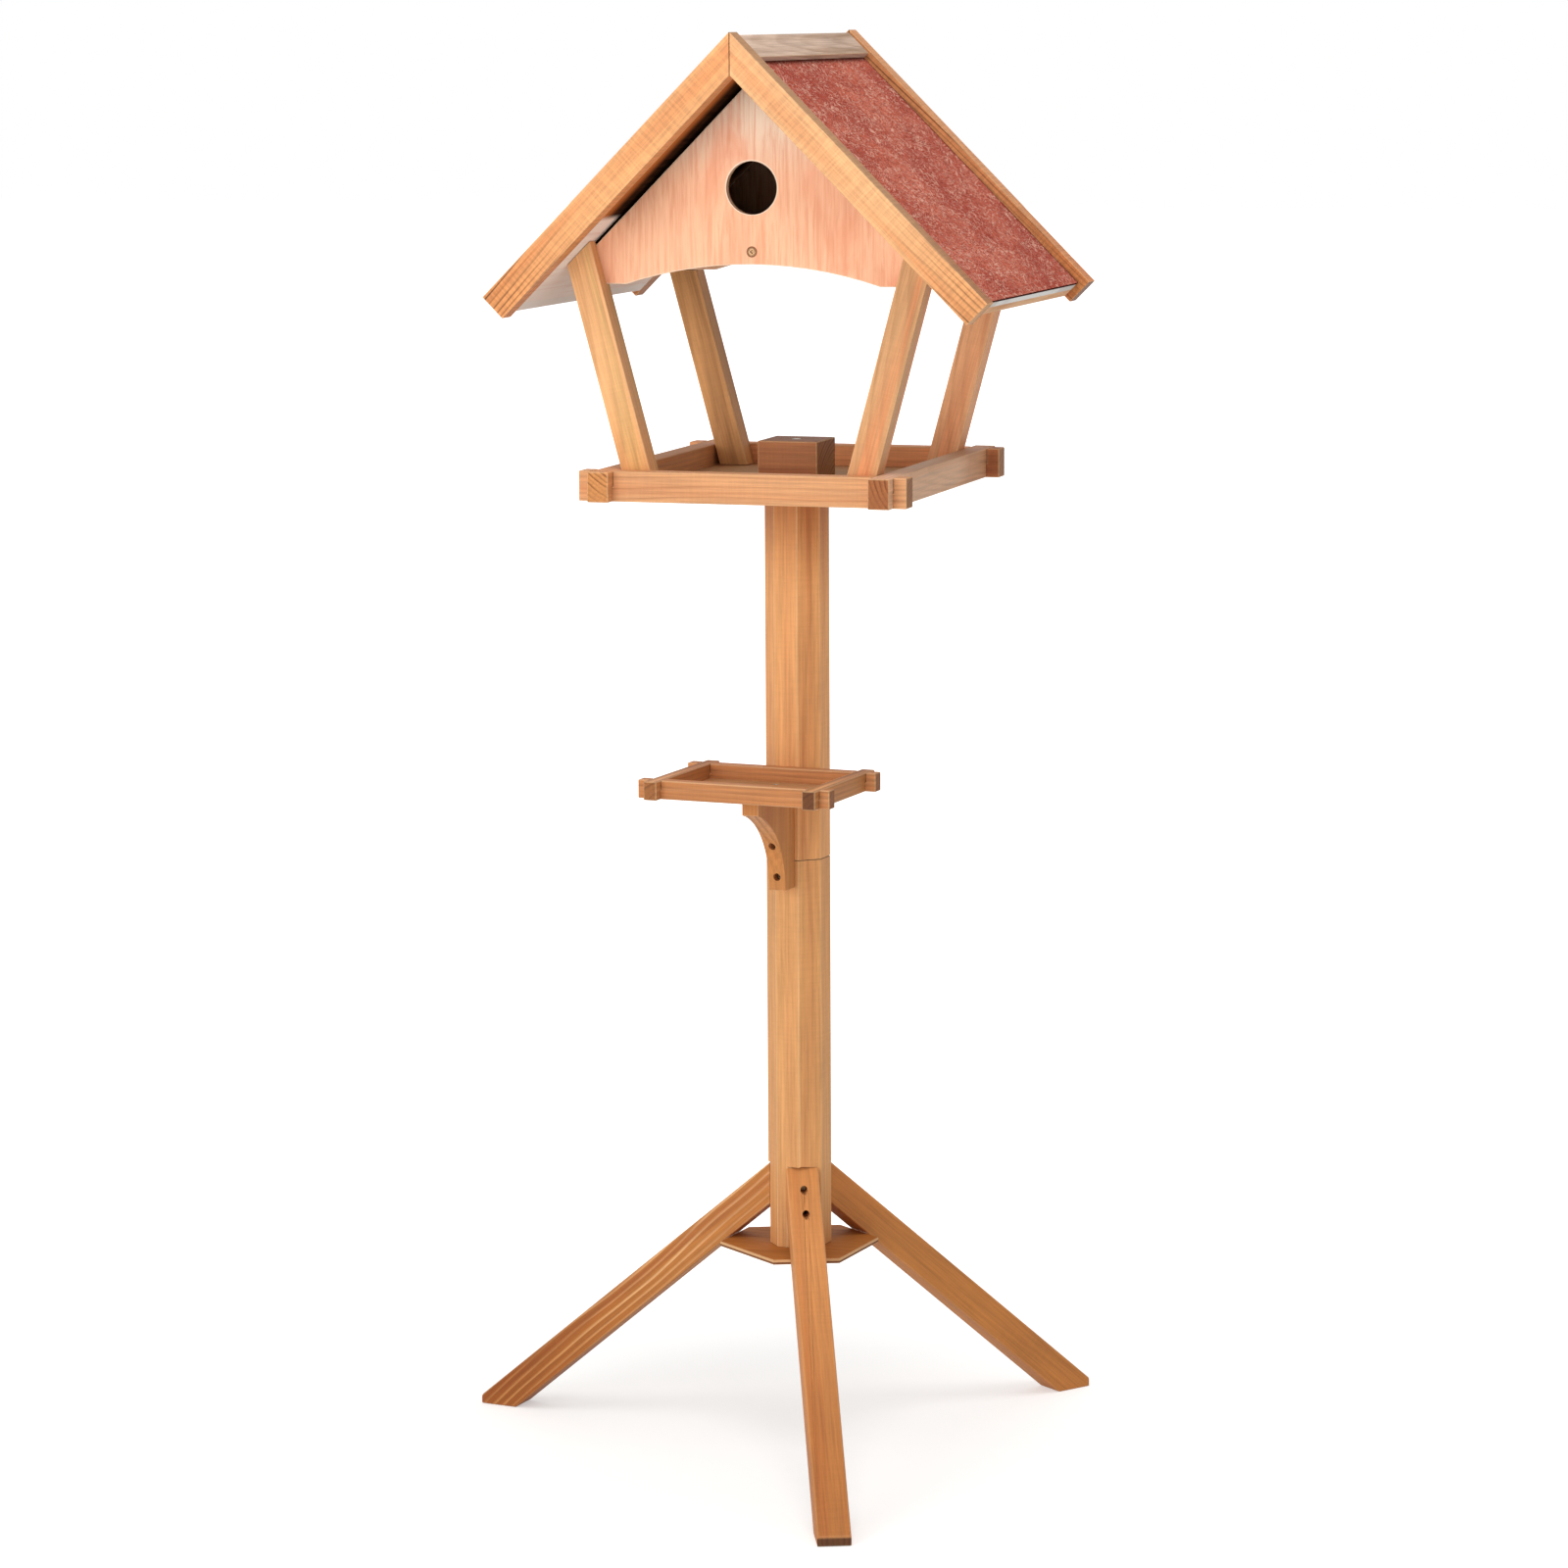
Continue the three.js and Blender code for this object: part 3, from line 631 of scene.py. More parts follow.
# %% The rails of the two trays
for end, tone, figure in (
    ("front", (212, 153, 106), dict(ring=3.6, heart=(46, 30), wave=10.0, contrast=0.55, dark=0.8)),
    # The rear rail's tone is raised above its wood's own: painted light for the light that feed in the tray
    # would bounce onto it.
    ("rear", (236, 162, 110), dict(ring=4.0, stain=(0.46, 0.35, 0.3), fade=(130, 150))),
    ("left", (214, 150, 98), dict(ring=4.0, end=(200, 134, 76))),
    ("right", (222, 178, 144), dict(
        ring=4.4, heart=(14, 30), slope=(0.03, 0.06), wave=12.0, contrast=0.5, streak=(196, 132, 90),
        stain=(0.8, 0.66, 0.54), fade=(30, 110), end=(158, 94, 50))),
):
    way, through = (X_WAY, Y_WAY) if end in ("front", "rear") else (Y_WAY, X_WAY)
    slot_name = "grey_wood" if end == "right" else "honey_wood"
    stick(f"tray_rail_{end}", way, through, tone, slot_name, easing=1.1, **figure)

for end, tone, cut_tone in (
    ("front", (190, 124, 74), (138, 82, 34)), ("rear", (206, 136, 84), (138, 82, 34)),
    ("left", (190, 126, 76), (156, 98, 52)), ("right", (184, 122, 70), (106, 60, 26)),
):
    way, through = (column_side, column_front) if end in ("front", "rear") else (column_front, column_side)
    slot_name = "pale_wood" if end == "front" else "honey_wood"
    stick(f"small_tray_rail_{end}", way, through, tone, slot_name, easing=0.9, least=6.0,
          ring=5.0, heart=(18, 14), contrast=0.8, dark=0.66, streaks=0.7, clouds=0.5, end=cut_tone,
          streak=(232, 178, 130))
print(len(sticks), "sticks with the rails")

# %% The uprights and the bargeboards
for name, tone, figure in (
    ("front_left", (231, 173, 118), dict(
        streak=(196, 166, 100), streaks=0.5, stain=(0.92, 0.84, 0.74), fade=(0, -110))),
    ("front_right", (207, 155, 107), dict(streak=(226, 134, 84), streaks=0.7)),
    ("rear_left", (206, 148, 92), dict(clouds=0.8, streak=(150, 98, 54), streaks=0.6)),
    ("rear_right", (231, 168, 120), dict(streak=(220, 130, 80), streaks=0.6, clouds=0.5)),
):
    side = -1 if name.endswith("left") else 1
    lean = Vector((side * math.sin(UPRIGHT_LEAN), 0, math.cos(UPRIGHT_LEAN)))
    stick(f"upright_{name}", lean, Y_WAY, tone, "honey_wood", easing=0.9, ring=4.4,
          heart=(16 * side, 26), slope=(0.05, 0.04), wave=12.0, contrast=0.5, **figure)


def slope_ways(side):
    """Down one slope of the roof, and square out of it."""
    return (Vector((side * math.cos(ROOF_SLOPE), 0, -math.sin(ROOF_SLOPE))),
            Vector((side * math.sin(ROOF_SLOPE), 0, math.cos(ROOF_SLOPE))))


for end, side_name, side, tone, figure in (
    ("front", "left", -1, (230, 165, 110), dict(contrast=0.2, stripes=1.9, weathered=0.6)),
    ("front", "right", 1, (234, 175, 123), dict(
        contrast=0.22, stripes=1.4, weathered=0.9, end=(206, 152, 100))),
    ("rear", "left", -1, (170, 118, 74), dict(contrast=0.7, stripes=0.2)),
    ("rear", "right", 1, (222, 154, 100), dict(contrast=1.0, end=(124, 78, 50))),
):
    down, out = slope_ways(side)
    stick(f"bargeboard_{end}_{side_name}", down, Y_WAY, tone, "pale_wood", easing=0.7, up=out, ring=3.2,
          heart=(44, 46), slope=(0.02, 0.02), dark=0.52, late=0.5, saw=0.1, clouds=0.4,
          streaks=0.5, stain=(0.9, 0.76, 0.62), fade=(30, 180), fibres=0.19, **figure)
print(len(sticks), "sticks listed")

# %% The sticks, eased and finished
MITRE_REACH = 1.5 * MM


def on_mitre(edge):
    """True for an edge at the open joint of two bargeboards, which stays sharp."""
    return all(abs(vert.co.x - post_axis.x) < MITRE_REACH for vert in edge.verts)


for name, along, through, tone, slot_name, easing, least, figure in sticks:
    mesh = merged_copy(name)
    ease(mesh, easing * MM, least * MM, spare=on_mitre if name.startswith("bargeboard") else None)
    place = own_middle(name, along, through)
    material = plank_material(f"wood_{name}", place, along, through, tone, **figure)
    new_piece(f"stick_{name}", mesh, name, material)
print(len(sticks), "sticks made")

# %% [markdown]
# ## Plywood boards
# The gables, the floors and the base plate are plywood: a face veneer with a soft figure, and thin
# layers that show wherever a saw went through. The layers could be modelled as sheets, but then
# every hole would have to be cut through each of them. Here the material counts them by depth, and
# shows them where the surface turns away from the face.

# %% Helpers for boards
RING_BLUR = 0.3 * MM
SIDE_STEP = 0.3, 0.75


def around(tree, centre, inner, outer):
    """A ring round an axis that runs front to back: 1 between the two radii, 0 elsewhere."""
    apart = vector_calc(tree, "SUBTRACT", own_place(tree), centre)
    flat = vector_calc(tree, "MULTIPLY", apart, (1, 0, 1))
    far = vector_calc(tree, "LENGTH", flat, output="Value")
    return calc(tree, "MULTIPLY", spread(tree, far, inner - RING_BLUR, inner + RING_BLUR),
                spread(tree, far, outer - RING_BLUR, outer + RING_BLUR, 1.0, 0.0))


def on_sides(tree, through):
    """1 on the sawn sides of a board, 0 on its two faces."""
    return spread(tree, calc(tree, "ABSOLUTE", facing(tree, through)), *SIDE_STEP, 1.0, 0.0)


def board(name, material, easing, least):
    """An eased board. Its easing and the shortest edge that is eased are in millimetres."""
    mesh = merged_copy(name)
    ease(mesh, easing * MM, least * MM, segments=2)
    new_piece(f"board_{name}", mesh, name, material)


print("board helpers ready")

# %% Plywood
PLY_LAYER, LAYER_STEP = 2.0 * MM, (0.45, 0.55)
# Where the painted-light tone takes over, up the board.
TOP_FROM, TOP_TO = -10 * MM, 70 * MM
BROAD_STEP, LINE_STEP = (0.42, 0.7, 0.0, 0.7), (0.42, 0.68, 0.0, 0.6)
CLOUD_LIGHT_STEP, LINE_LIGHT_STEP = (0.3, 0.7, 0.95, 1.04), (0.3, 0.7, 0.04, -0.04)
EASED_SHARE = 0.8
PLY_SMOOTHEST, PLY_ROUGHEST = 0.6, 0.75


def ply_material(name, place, along, through, face_tone, streak_tone, edge_tones, rings=(),
                 painted_light_tone=None):
    """Plywood. A painted-light tone lightens the board towards its top, and rings are tones round holes:
    dark ones round screws and a painted highlight round the entrance.
    """
    material, tree = new_material(name)
    spot = plank_place(tree, place, along, through)
    up_board, _, depth = split(tree, spot)[:3]
    broad = stretched_noise(tree, spot, (7.0, 22.0, 22.0), detail=4.0, rough=0.6, warp=0.8)
    lines = stretched_noise(tree, spot, (16.0, 300.0, 300.0), detail=4.0, rough=0.65, warp=0.6)
    clouds = stretched_noise(tree, spot, (9.0, 12.0, 12.0))
    face = colour(*face_tone)
    if painted_light_tone:
        face = blend(tree, spread(tree, up_board, TOP_FROM, TOP_TO), face, colour(*painted_light_tone))
    for figure, step in ((broad, BROAD_STEP), (lines, LINE_STEP)):
        face = blend(tree, spread(tree, figure, *step), face, colour(*streak_tone))
    for centre, inner, outer, tone in rings:
        face = blend(tree, around(tree, centre, inner, outer), face, colour(*tone))
    pale, dark = (colour(*tone) for tone in edge_tones)
    layers = calc(tree, "FRACT", calc(tree, "DIVIDE", depth, 2 * PLY_LAYER))
    side = blend(tree, spread(tree, layers, *LAYER_STEP), pale, dark)
    base = blend(tree, on_sides(tree, through), face, side)
    base = blend(tree, calc(tree, "MULTIPLY", eased(tree), EASED_SHARE), base, pale)
    light = calc(tree, "ADD", spread(tree, clouds, *CLOUD_LIGHT_STEP), spread(tree, lines, *LINE_LIGHT_STEP))
    roughness = spread(tree, lines, *ROUGH_STEP, PLY_SMOOTHEST, PLY_ROUGHEST)
    finish_surface(tree, brighten(tree, base, light), roughness, lines, bump=0.25, gloss=0.25)
    return material


print("plywood ready")

# %% Gables, floors and base plate
# The top tone is painted light: it lightens the tops of the gables, which lie in the shade of the roof.
GABLE_TONES = dict(face_tone=(253, 196, 157), streak_tone=(243, 162, 124), painted_light_tone=(255, 230, 204),
                   edge_tones=((255, 226, 196), (226, 170, 128)))
PLATE_TONES = dict(face_tone=(182, 114, 50), streak_tone=(158, 92, 38),
                   edge_tones=((214, 166, 118), (120, 76, 46)))
FLOOR_TONE, FLOOR_STREAK, FLOOR_EDGE = (200, 152, 106), (176, 122, 78), ((214, 172, 128), (150, 102, 64))
# The nest floor's tones are scaled down by this share: painted shade inside the closed nest.
NEST_FLOOR_PAINTED_SHADE = 0.3
# The pale ring round the entrance hole is a painted highlight.
HOLE_HEIGHT, HOLE_RADIUS, HOLE_RIM, HOLE_HIGHLIGHT_TONE = 1245.6 * MM, 25.0 * MM, MM, (255, 226, 200)
SCREW_RADIUS, SCREW_RIM, SCREW_TONE = 4.0 * MM, 1.2 * MM, (136, 88, 54)

entrance = Vector((post_axis.x, 0, HOLE_HEIGHT))
for end in ("front", "rear"):
    rings = [(middle(f"gable_screw_{end}"), SCREW_RADIUS - MM, SCREW_RADIUS + SCREW_RIM, SCREW_TONE)]
    if end == "front":
        rings.append((entrance, HOLE_RADIUS - HOLE_RIM, HOLE_RADIUS + HOLE_RIM, HOLE_HIGHLIGHT_TONE))
    board(f"gable_{end}", ply_material(
        f"ply_gable_{end}", middle(f"gable_{end}"), Z_WAY, Y_WAY, rings=rings, **GABLE_TONES,
    ), easing=1.0, least=12.0)
for name, way, share in (
    ("tray_floor", X_WAY, 1.0), ("small_tray_floor", column_side, 1.0), ("nest_floor", X_WAY, NEST_FLOOR_PAINTED_SHADE),
):
    board(name, ply_material(
        f"ply_{name}", middle(name), way, Z_WAY, scaled(FLOOR_TONE, share), scaled(FLOOR_STREAK, share),
        FLOOR_EDGE,
    ), easing=0.5, least=8.0)
board("base_plate", ply_material(
    "ply_base_plate", middle("base_plate"), X_WAY, Z_WAY, **PLATE_TONES,
), easing=0.5, least=12.0)
print("boards made")

# %% [markdown]
# ## Roof panels
# Each slope is a board with a pale core and a brown strip under it, which shows as two bands on the
# eave. The underside is whitish at the eave. Inside the roof it is painted dark as shade, and a lighter
# brown is painted beside the bargeboards for the light that reaches in there. Core and strip could be
# boards of their own, but an edge of a few millimetres is all that shows of them, so one board
# carries both in its material.

# %% Where shade and light are painted under the roof
DARK_FROM, DARK_TO = 36 * MM, 46 * MM
BOARD_SHADE, EDGE_BLUR = 30 * MM, 1.0 * MM
nest_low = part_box("nest_floor")[0].z
gable_back, gable_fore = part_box("gable_front")[1].y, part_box("gable_rear")[0].y
board_back, board_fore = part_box("bargeboard_front_left")[1].y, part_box("bargeboard_rear_left")[0].y


def stained_dark(tree, along):
    """Where shade is painted: 1 high up under the roof, and between the gables above the nest floor."""
    _, back, up = split(tree, own_place(tree))[:3]
    indoors = calc(tree, "MULTIPLY", spread(tree, back, gable_back - EDGE_BLUR, gable_back),
                   spread(tree, back, gable_fore, gable_fore + EDGE_BLUR, 1.0, 0.0))
    indoors = calc(tree, "MULTIPLY", indoors, spread(tree, up, nest_low - EDGE_BLUR, nest_low))
    return calc(tree, "MAXIMUM", indoors, spread(tree, along, DARK_FROM, DARK_TO, 1.0, 0.0))


def painted_light_by_bargeboard(tree):
    """Where light is painted: 1 beside the bargeboards, where the underside is painted a lighter brown."""
    back = split(tree, own_place(tree))[1]
    return calc(tree, "MAXIMUM", spread(tree, back, board_back, board_back + BOARD_SHADE, 1.0, 0.0),
                spread(tree, back, board_fore - BOARD_SHADE, board_fore))


print(f"nest floor at {nest_low:.4f}")

# %% Roof panels
DRIP, DRIP_TORN, DRIP_BLUR_SHARE = 9.0 * MM, 6.0 * MM, 0.7
BAND_STEP = 0.8 * MM, 1.8 * MM
LINE_SHADE_STEP, CLOUD_SHADE_STEP = (0.48, 0.66, 0.0, 0.45), (0.4, 0.7, 0.0, 0.4)
DARK_STEP, TOP_BAND_STEP, LOW_BAND_STEP = (0.4, 0.7), (0.45, 0.6), (0.4, 0.65)


def tones_of(tree, value, step, first, second):
    """From one tone to another as a value rises through a step."""
    return blend(tree, spread(tree, value, *step), colour(*first), colour(*second))


def panel_material(name, down, out):
    material, tree = new_material(f"panel_{name}")
    place = own_middle(name, down, out)
    spot = plank_place(tree, place, down, out)
    along, _, depth = split(tree, spot)[:3]
    eave = max(reaches(name, down)) - place.dot(down)
    lines = stretched_noise(tree, spot, (260.0, 6.0, 60.0), detail=4.0, rough=0.6, warp=0.4)
    clouds = stretched_noise(tree, spot, (14.0, 10.0, 14.0))
    veil = spread(tree, lines, *LINE_SHADE_STEP)
    pale = blend(tree, veil, colour(254, 244, 236), colour(236, 206, 192))
    pale = blend(tree, spread(tree, clouds, *CLOUD_SHADE_STEP), pale, colour(242, 224, 214))
    torn = calc(tree, "ADD", along, calc(tree, "MULTIPLY", clouds, DRIP_TORN))
    dripping = spread(tree, torn, eave - DRIP, eave - DRIP_BLUR_SHARE * DRIP)
    pale = blend(tree, dripping, pale, colour(246, 240, 234))
    # Painted shade under the roof: dark tones where the underside lies in shadow.
    dark = tones_of(tree, lines, DARK_STEP, (58, 36, 24), (34, 22, 15))
    # Painted light: a lighter brown beside the bargeboards, where some light reaches the underside.
    dark = blend(tree, painted_light_by_bargeboard(tree), dark, colour(196, 120, 66))
    under = blend(tree, stained_dark(tree, along), pale, dark)
    top_band = tones_of(tree, clouds, TOP_BAND_STEP, (252, 252, 250), (228, 222, 216))
    low_band = tones_of(tree, lines, LOW_BAND_STEP, (252, 206, 166), (222, 168, 128))
    bands = blend(tree, spread(tree, depth, *BAND_STEP), low_band, top_band)
    base = blend(tree, on_sides(tree, out), under, bands)
    finish_surface(tree, base, roughness=0.8, height=lines, bump=0.2, gloss=0.0)
    return material


for side_name, side in (("left", -1), ("right", 1)):
    name = f"roof_panel_{side_name}"
    board(name, panel_material(name, *slope_ways(side)), easing=0.4, least=12.0)
print("roof panels made")

# %% [markdown]
# ## Ridge caps
# Two thin strips close the ridge over the felt. They take the most weather, so they are grey. They
# are sticks like the others, but so thin that shorter edges are eased too, in fewer steps, and their
# dry surface has no gloss.

# %% Ridge caps
CAP_EASING, CAP_LEAST = 0.8 * MM, 3.0 * MM

for side_name, side in (("left", -1), ("right", 1)):
    down, out = slope_ways(side)
    name = f"ridge_cap_{side_name}"
    mesh = merged_copy(name)
    ease(mesh, CAP_EASING, CAP_LEAST, segments=2)
    new_piece(f"stick_{name}", mesh, name, plank_material(
        f"wood_{name}", own_middle(name, Y_WAY, out), Y_WAY, out, (218, 190, 170),
        streak=(158, 124, 96), streaks=0.8, ring=3.6, heart=(6, 30), wave=10.0, contrast=0.55, clouds=0.7,
        slope=(0.02, 0.04), fibres=0.18, gloss=0.0))
print("ridge caps made")

# %% [markdown]
# ## Roofing felt
# The felt is a bitumen sheet with a coloured face, full of short pale fibres that curl every way.
# Each fibre could be a strand of its own, but thousands of them would be heavy. A level line of
# smooth noise is just such a curl, so the pattern is a thin band round the level lines of two noises.
# The sheet is painted darker beside the bargeboards and under the ridge caps, as the shade they cast
# there. It is cut into a net and lifted by a hair of noise, because felt never lies quite flat.

# %% The tones of the felt
CURL_STRETCH, CURL_WARP = 0.5, 1.6
# The rim of painted shade: its width, and how dark it gets beside the boards and under the cap.
RIM_WIDTH, RIM_SHARE, CAP_SHARE = 6 * MM, 0.8, 0.85
TOP_SIDE_STEP, FELT_STEP = (0.4, 0.8), (0.35, 0.65)
BROKEN_STEP, GRIT_STEP = (0.36, 0.5, 0.3, 1.0), (0.48, 0.68, 0.0, 0.6)
SHADOW_SHARE, FIBRE_SHARE, GRIT_RELIEF = 0.5, 0.75, 0.6


def curls(tree, spot, cells, width, shift):
    """Thin curling bands round the level lines of smooth noise."""
    moved = vector_calc(tree, "ADD", spot, (shift, shift, shift))
    level = stretched_noise(tree, moved, (cells, CURL_STRETCH * cells, cells), detail=1.0, rough=0.4,
                            warp=CURL_WARP)
    return spread(tree, calc(tree, "ABSOLUTE", calc(tree, "SUBTRACT", level, 0.5)), 0.0, width, 1.0, 0.0)


def felt_painted_shade(tree, spot, half_wide, cap_edge):
    """Painted shade: a dark rim beside the bargeboards and under the ridge cap, where they shadow the felt.
    """
    down_slope, across = split(tree, spot)[:2]
    beside = spread(tree, calc(tree, "ABSOLUTE", across), half_wide - RIM_WIDTH, half_wide, 0.0, RIM_SHARE)
    return calc(tree, "MAXIMUM", beside,
                spread(tree, down_slope, cap_edge, cap_edge + RIM_WIDTH, CAP_SHARE, 0.0))


def felt_material(name, place, down, out, half_wide, cap_edge):
    material, tree = new_material(name)
    spot = plank_place(tree, place, down, out)
    pale = calc(tree, "MAXIMUM", curls(tree, spot, cells=96.0, width=0.034, shift=0.0),
                curls(tree, spot, cells=132.0, width=0.034, shift=3.1))
    shadows = calc(tree, "MAXIMUM", curls(tree, spot, cells=96.0, width=0.04, shift=0.003),
                   curls(tree, spot, cells=140.0, width=0.04, shift=5.7))
    broken = spread(tree, stretched_noise(tree, spot, (50.0, 36.0, 50.0), detail=2.0), *BROKEN_STEP)
    grit = stretched_noise(tree, spot, (700.0, 350.0, 700.0), detail=2.0)
    patch = stretched_noise(tree, spot, (12.0, 8.0, 12.0))
    base = tones_of(tree, patch, FELT_STEP, (184, 88, 73), (212, 116, 95))
    for share, tone in (
        (spread(tree, grit, *GRIT_STEP), (128, 44, 36)),
        (calc(tree, "MULTIPLY", shadows, SHADOW_SHARE), (116, 40, 36)),
        (calc(tree, "MULTIPLY", calc(tree, "MULTIPLY", pale, broken), FIBRE_SHARE), (244, 190, 168)),
        # painted shade beside the bargeboards and under the ridge cap
        (felt_painted_shade(tree, spot, half_wide, cap_edge), (84, 34, 28)),
        (spread(tree, facing(tree, out), *TOP_SIDE_STEP, 1.0, 0.0), (74, 36, 32)),
    ):
        base = blend(tree, share, base, colour(*tone))
    height = calc(tree, "ADD", pale, calc(tree, "MULTIPLY", grit, GRIT_RELIEF))
    finish_surface(tree, base, roughness=0.95, height=height, bump=0.5, reach=0.5 * MM, gloss=0.0)
    return material


print("felt tones ready")

# %% The felt sheets
NET, LIFT, WAVES_PER_METRE = 16.0 * MM, 0.5 * MM, 22
TOP_FACE, FELT_SMOOTH = 0.9, math.radians(35)


def felt_sheet(name, down, out, half_wide):
    """A copy of the sheet, cut into a net, with the corners of its top lifted or pressed a little."""
    mesh = merged_copy(name)
    place = middle(name)
    low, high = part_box(name)
    for way, half in ((down, (high.x - low.x) / 2 / math.cos(ROOF_SLOPE)), (Y_WAY, half_wide)):
        for step in range(-int(half / NET), int(half / NET) + 1):
            geometry = mesh.verts[:] + mesh.edges[:] + mesh.faces[:]
            bmesh.ops.bisect_plane(mesh, geom=geometry, dist=WELD,
                                   plane_co=place + way * step * NET, plane_no=way)
    mesh.normal_update()
    for vert in mesh.verts:
        if all(face.normal.dot(out) > TOP_FACE for face in vert.link_faces):
            vert.co += out * LIFT * noise.noise(vert.co * WAVES_PER_METRE)
    return mesh


for side_name, side in (("left", -1), ("right", 1)):
    down, out = slope_ways(side)
    name = f"roof_felt_{side_name}"
    low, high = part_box(name)
    half_wide = (high.y - low.y) / 2
    cap_edge = max(reaches(f"ridge_cap_{side_name}", down)) - middle(name).dot(down)
    covering = felt_material(f"felt_{side_name}", middle(name), down, out, half_wide, cap_edge)
    new_piece(f"felt_{side_name}", felt_sheet(name, down, out, half_wide), name, covering,
              smooth=FELT_SMOOTH)
print("felt laid")

# %% [markdown]
# ## Screws
# A wood screw is a turned shape: a head, a shank and a pointed thread, with a cross recess that is
# pressed into the head. A real helix would need many faces that nobody sees inside the wood, so the
# thread is a row of ridges. The outline is spun round the axis, and the recess starts as a square of
# nine fields without its corners, whose rim is drawn up and joined to the rim of the head.

# %% Where the screws are
screws = {
    "plate_screw": -Z_WAY, "post_fixing_screw": Z_WAY,
    "bracket_screw_upper": column_front, "bracket_screw_lower": column_front,
    "small_tray_screw_front": Z_WAY, "small_tray_screw_rear": Z_WAY,
    "gable_screw_front": -Y_WAY, "gable_screw_rear": Y_WAY,
}
for corner in ("front_left", "front_right", "rear_left", "rear_right"):
    screws[f"upright_screw_{corner}"] = -Z_WAY
for side in ("front", "right", "left"):
    for level in ("upper", "lower"):
        screws[f"leg_{side}_screw_{level}"] = outward(f"leg_{side}")


def measure_screw(name, axis):
    """The middle of the head, the length, the radii of head and shank, and the head's depth and foot."""
    points = [vert.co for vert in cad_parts[name].data.vertices]
    reach = reaches(name, axis)
    top, tip = max(reach), min(reach)
    face = [point for point, far in zip(points, reach) if top - far < WELD]
    centre = sum(face, Vector()) / len(face)
    levels = {}
    for point, far in zip(points, reach):
        out = (point - centre - axis * (far - top)).length
        level = round((top - far) / MM, 2)
        levels[level] = max(levels.get(level, 0.0), out)
    depths = sorted(levels)
    return centre, top - tip, levels[depths[0]], levels[depths[-2]], depths[1] * MM, levels[depths[1]]


print(len(screws), "screws listed")

# %% The outline of a screw
RIDGES = 9
CORE_SHARE, TIP_SHARE, THREAD_SHARE = 0.72, 2.4, 0.8
CREST_SHARE, ROOT_SHARE = 0.35, 0.95
NECK_SHARE, PAN_FROM_SHARE, PAN_SIDE_SHARE, PAN_ROUND_SHARE = 1.02, 1.2, 0.45, 0.9
CHAMFER_SHARE, FACE_SHARE = 0.12, 0.78


def screw_outline(length, head, shank, head_depth, foot_radius):
    """Half of a screw's section, from its tip up to the flat of its head."""
    core = shank * CORE_SHARE
    tip = shank * TIP_SHARE
    outline = [(0.0, -length), (core, tip - length)]
    pitch = (length - tip - head_depth) * THREAD_SHARE / RIDGES
    for ridge in range(RIDGES):
        foot = tip - length + pitch * ridge
        outline += [(shank, foot + pitch * CREST_SHARE), (core, foot + pitch * ROOT_SHARE)]
    outline += [(core, -head_depth * NECK_SHARE)]
    chamfer = -head_depth * CHAMFER_SHARE
    if foot_radius > shank * PAN_FROM_SHARE:
        outline += [(head, -head_depth), (head, -head_depth * PAN_SIDE_SHARE)]
        outline += [(head * PAN_ROUND_SHARE, chamfer)]
    else:
        outline += [(head, chamfer)]
    return outline + [(head * FACE_SHARE, 0.0)]


print("outline ready")

# %% Spinning a screw and pressing its recess
ROUND_STEPS = 18
RECESS_SHARE, RECESS_DEPTH_SHARE, RECESS_FLARE = 0.36, 0.7, 1.35
OFF_CROSS_SHARE, RECESS_REACH_SHARE = 0.1, 0.7


def press_recess(mesh, head, head_depth):
    """A cross recess in the open top of a screw's head."""
    rim = [edge for edge in mesh.edges
           if edge.is_boundary and all(abs(vert.co.z) < WELD for vert in edge.verts)]
    grid = bmesh.ops.create_grid(mesh, x_segments=3, y_segments=3, size=head * RECESS_SHARE,
                                 matrix=Matrix.Translation((0, 0, -head_depth * RECESS_DEPTH_SHARE)))
    fields = {face for vert in grid["verts"] for face in vert.link_faces}
    corners = [face for face in fields
               if min(abs(x) for x in face.calc_center_median().xy) > head * OFF_CROSS_SHARE]
    bmesh.ops.delete(mesh, geom=corners, context="FACES")
    cross = [edge for edge in mesh.edges if edge.is_boundary and edge not in rim
             and all(vert.co.z > -head_depth and vert.co.xy.length < head * RECESS_REACH_SHARE
                     for vert in edge.verts)]
    wall = bmesh.ops.extrude_edge_only(mesh, edges=cross)["geom"]
    tops = [item for item in wall if isinstance(item, bmesh.types.BMVert)]
    for vert in tops:
        vert.co.z = 0
        vert.co.xy *= RECESS_FLARE
    top_edges = [item for item in wall
                 if isinstance(item, bmesh.types.BMEdge) and all(vert in tops for vert in item.verts)]
    bmesh.ops.triangle_fill(mesh, use_beauty=True, use_dissolve=False, edges=rim + top_edges)


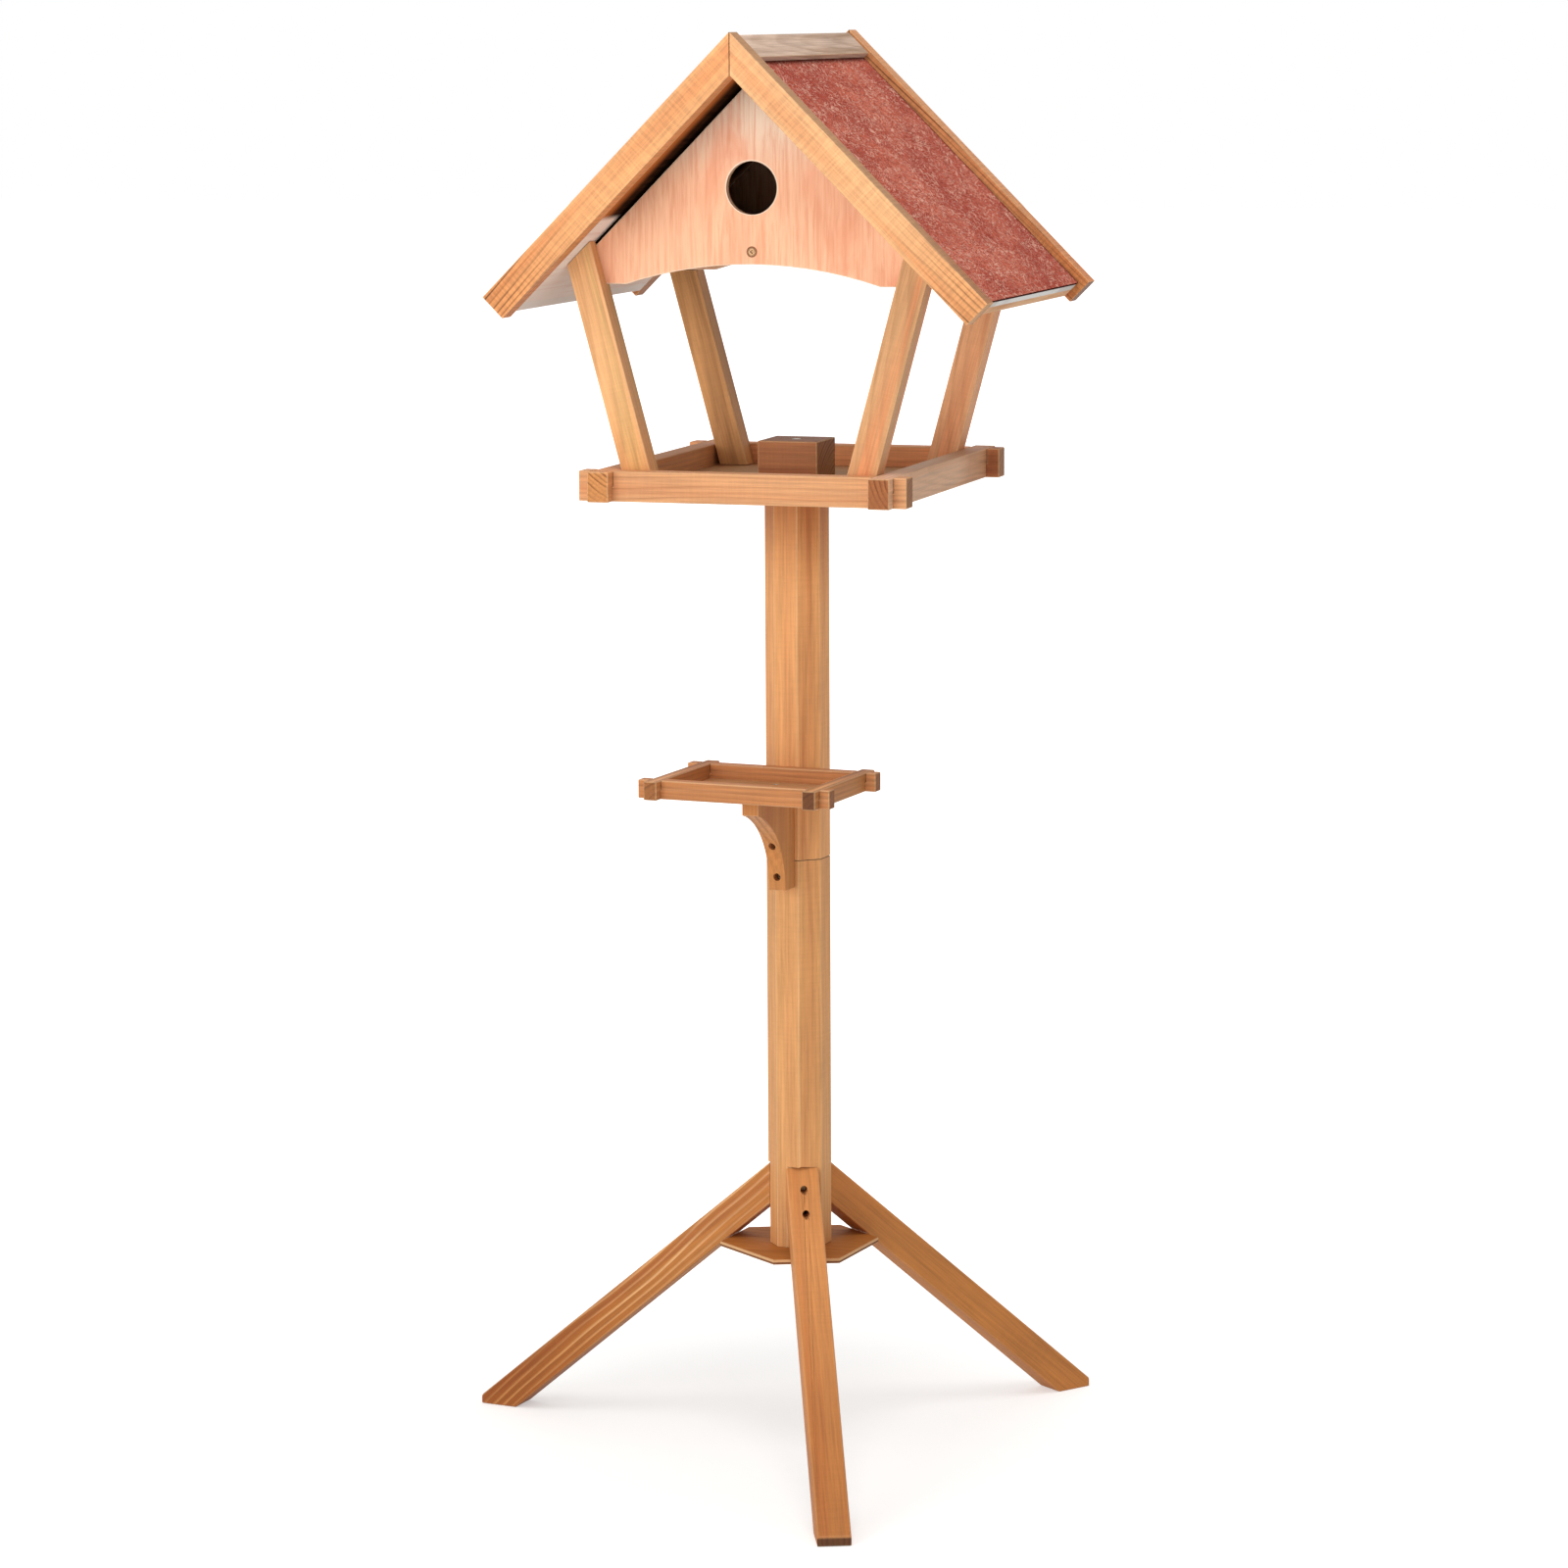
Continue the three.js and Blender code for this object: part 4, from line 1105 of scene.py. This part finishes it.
def screw_mesh(length, head, shank, head_depth, foot_radius):
    mesh = bmesh.new()
    outline = screw_outline(length, head, shank, head_depth, foot_radius)
    verts = [mesh.verts.new((x, 0, z)) for x, z in outline]
    edges = [mesh.edges.new(pair) for pair in zip(verts, verts[1:])]
    bmesh.ops.spin(mesh, geom=verts + edges, cent=(0, 0, 0), axis=(0, 0, 1), steps=ROUND_STEPS,
                   angle=math.tau, use_merge=True)
    press_recess(mesh, head, head_depth)
    bmesh.ops.remove_doubles(mesh, verts=mesh.verts, dist=WELD)
    bmesh.ops.recalc_face_normals(mesh, faces=mesh.faces)
    return mesh


print("screws can be spun")

# %% Steel and the screws
STEEL_CELLS, SCREW_SMOOTH = 500.0, math.radians(40)
TARNISH_STEP = 0.35, 0.65
STEEL_SMOOTHEST, STEEL_ROUGHEST = 0.32, 0.5


def steel_material(name, bright, dull):
    material, tree = new_material(name)
    cloud = node(tree, "ShaderNodeTexNoise", {
        "Vector": own_place(tree), "Scale": STEEL_CELLS, "Detail": 3.0,
    }).outputs[0]
    base = tones_of(tree, cloud, TARNISH_STEP, dull, bright)
    roughness = spread(tree, cloud, *ROUGH_STEP, STEEL_SMOOTHEST, STEEL_ROUGHEST)
    finish_surface(tree, base, roughness, cloud, bump=0.1, metallic=1.0)
    return material


zinc = steel_material("zinc_plated_steel", (208, 202, 186), (160, 150, 128))
# A darker, browner copy of the same steel: painted shade for the screws deep in the legs and the bracket.
painted_shade_steel = steel_material("steel_with_painted_shade", (156, 132, 100), (110, 90, 66))
brassy = steel_material("yellow_passivated_steel", (164, 130, 98), (126, 96, 68))


def plating(name):
    """The gable's screws are yellowish; those deep in the legs and the bracket get the darker copy of the
    steel, which is painted shade.
    """
    if "gable" in name:
        return brassy
    return painted_shade_steel if name.startswith(("leg", "bracket")) else zinc


for name, axis in screws.items():
    centre, *measures = measure_screw(name, axis)
    mesh = screw_mesh(*measures)
    mesh.transform(Matrix.Translation(centre) @ axis.to_track_quat("Z", "Y").to_matrix().to_4x4())
    new_piece(f"steel_{name}", mesh, name, plating(name), smooth=SCREW_SMOOTH)
print(len(screws), "screws made")

# %% [markdown]
# ## The dowel
# The dowel between the two lengths of post is never seen, so nothing is gained by easing it and its
# CAD mesh stays. But it is a real stick, so it is finished as one.

# %% The dowel
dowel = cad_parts["post_dowel"].data
dowel.materials.clear()
dowel.materials.append(plank_material(
    "wood_post_dowel", middle("post_dowel"), Z_WAY, Y_WAY, (232, 196, 150), heart=(4, 20)))
print("dowel finished")
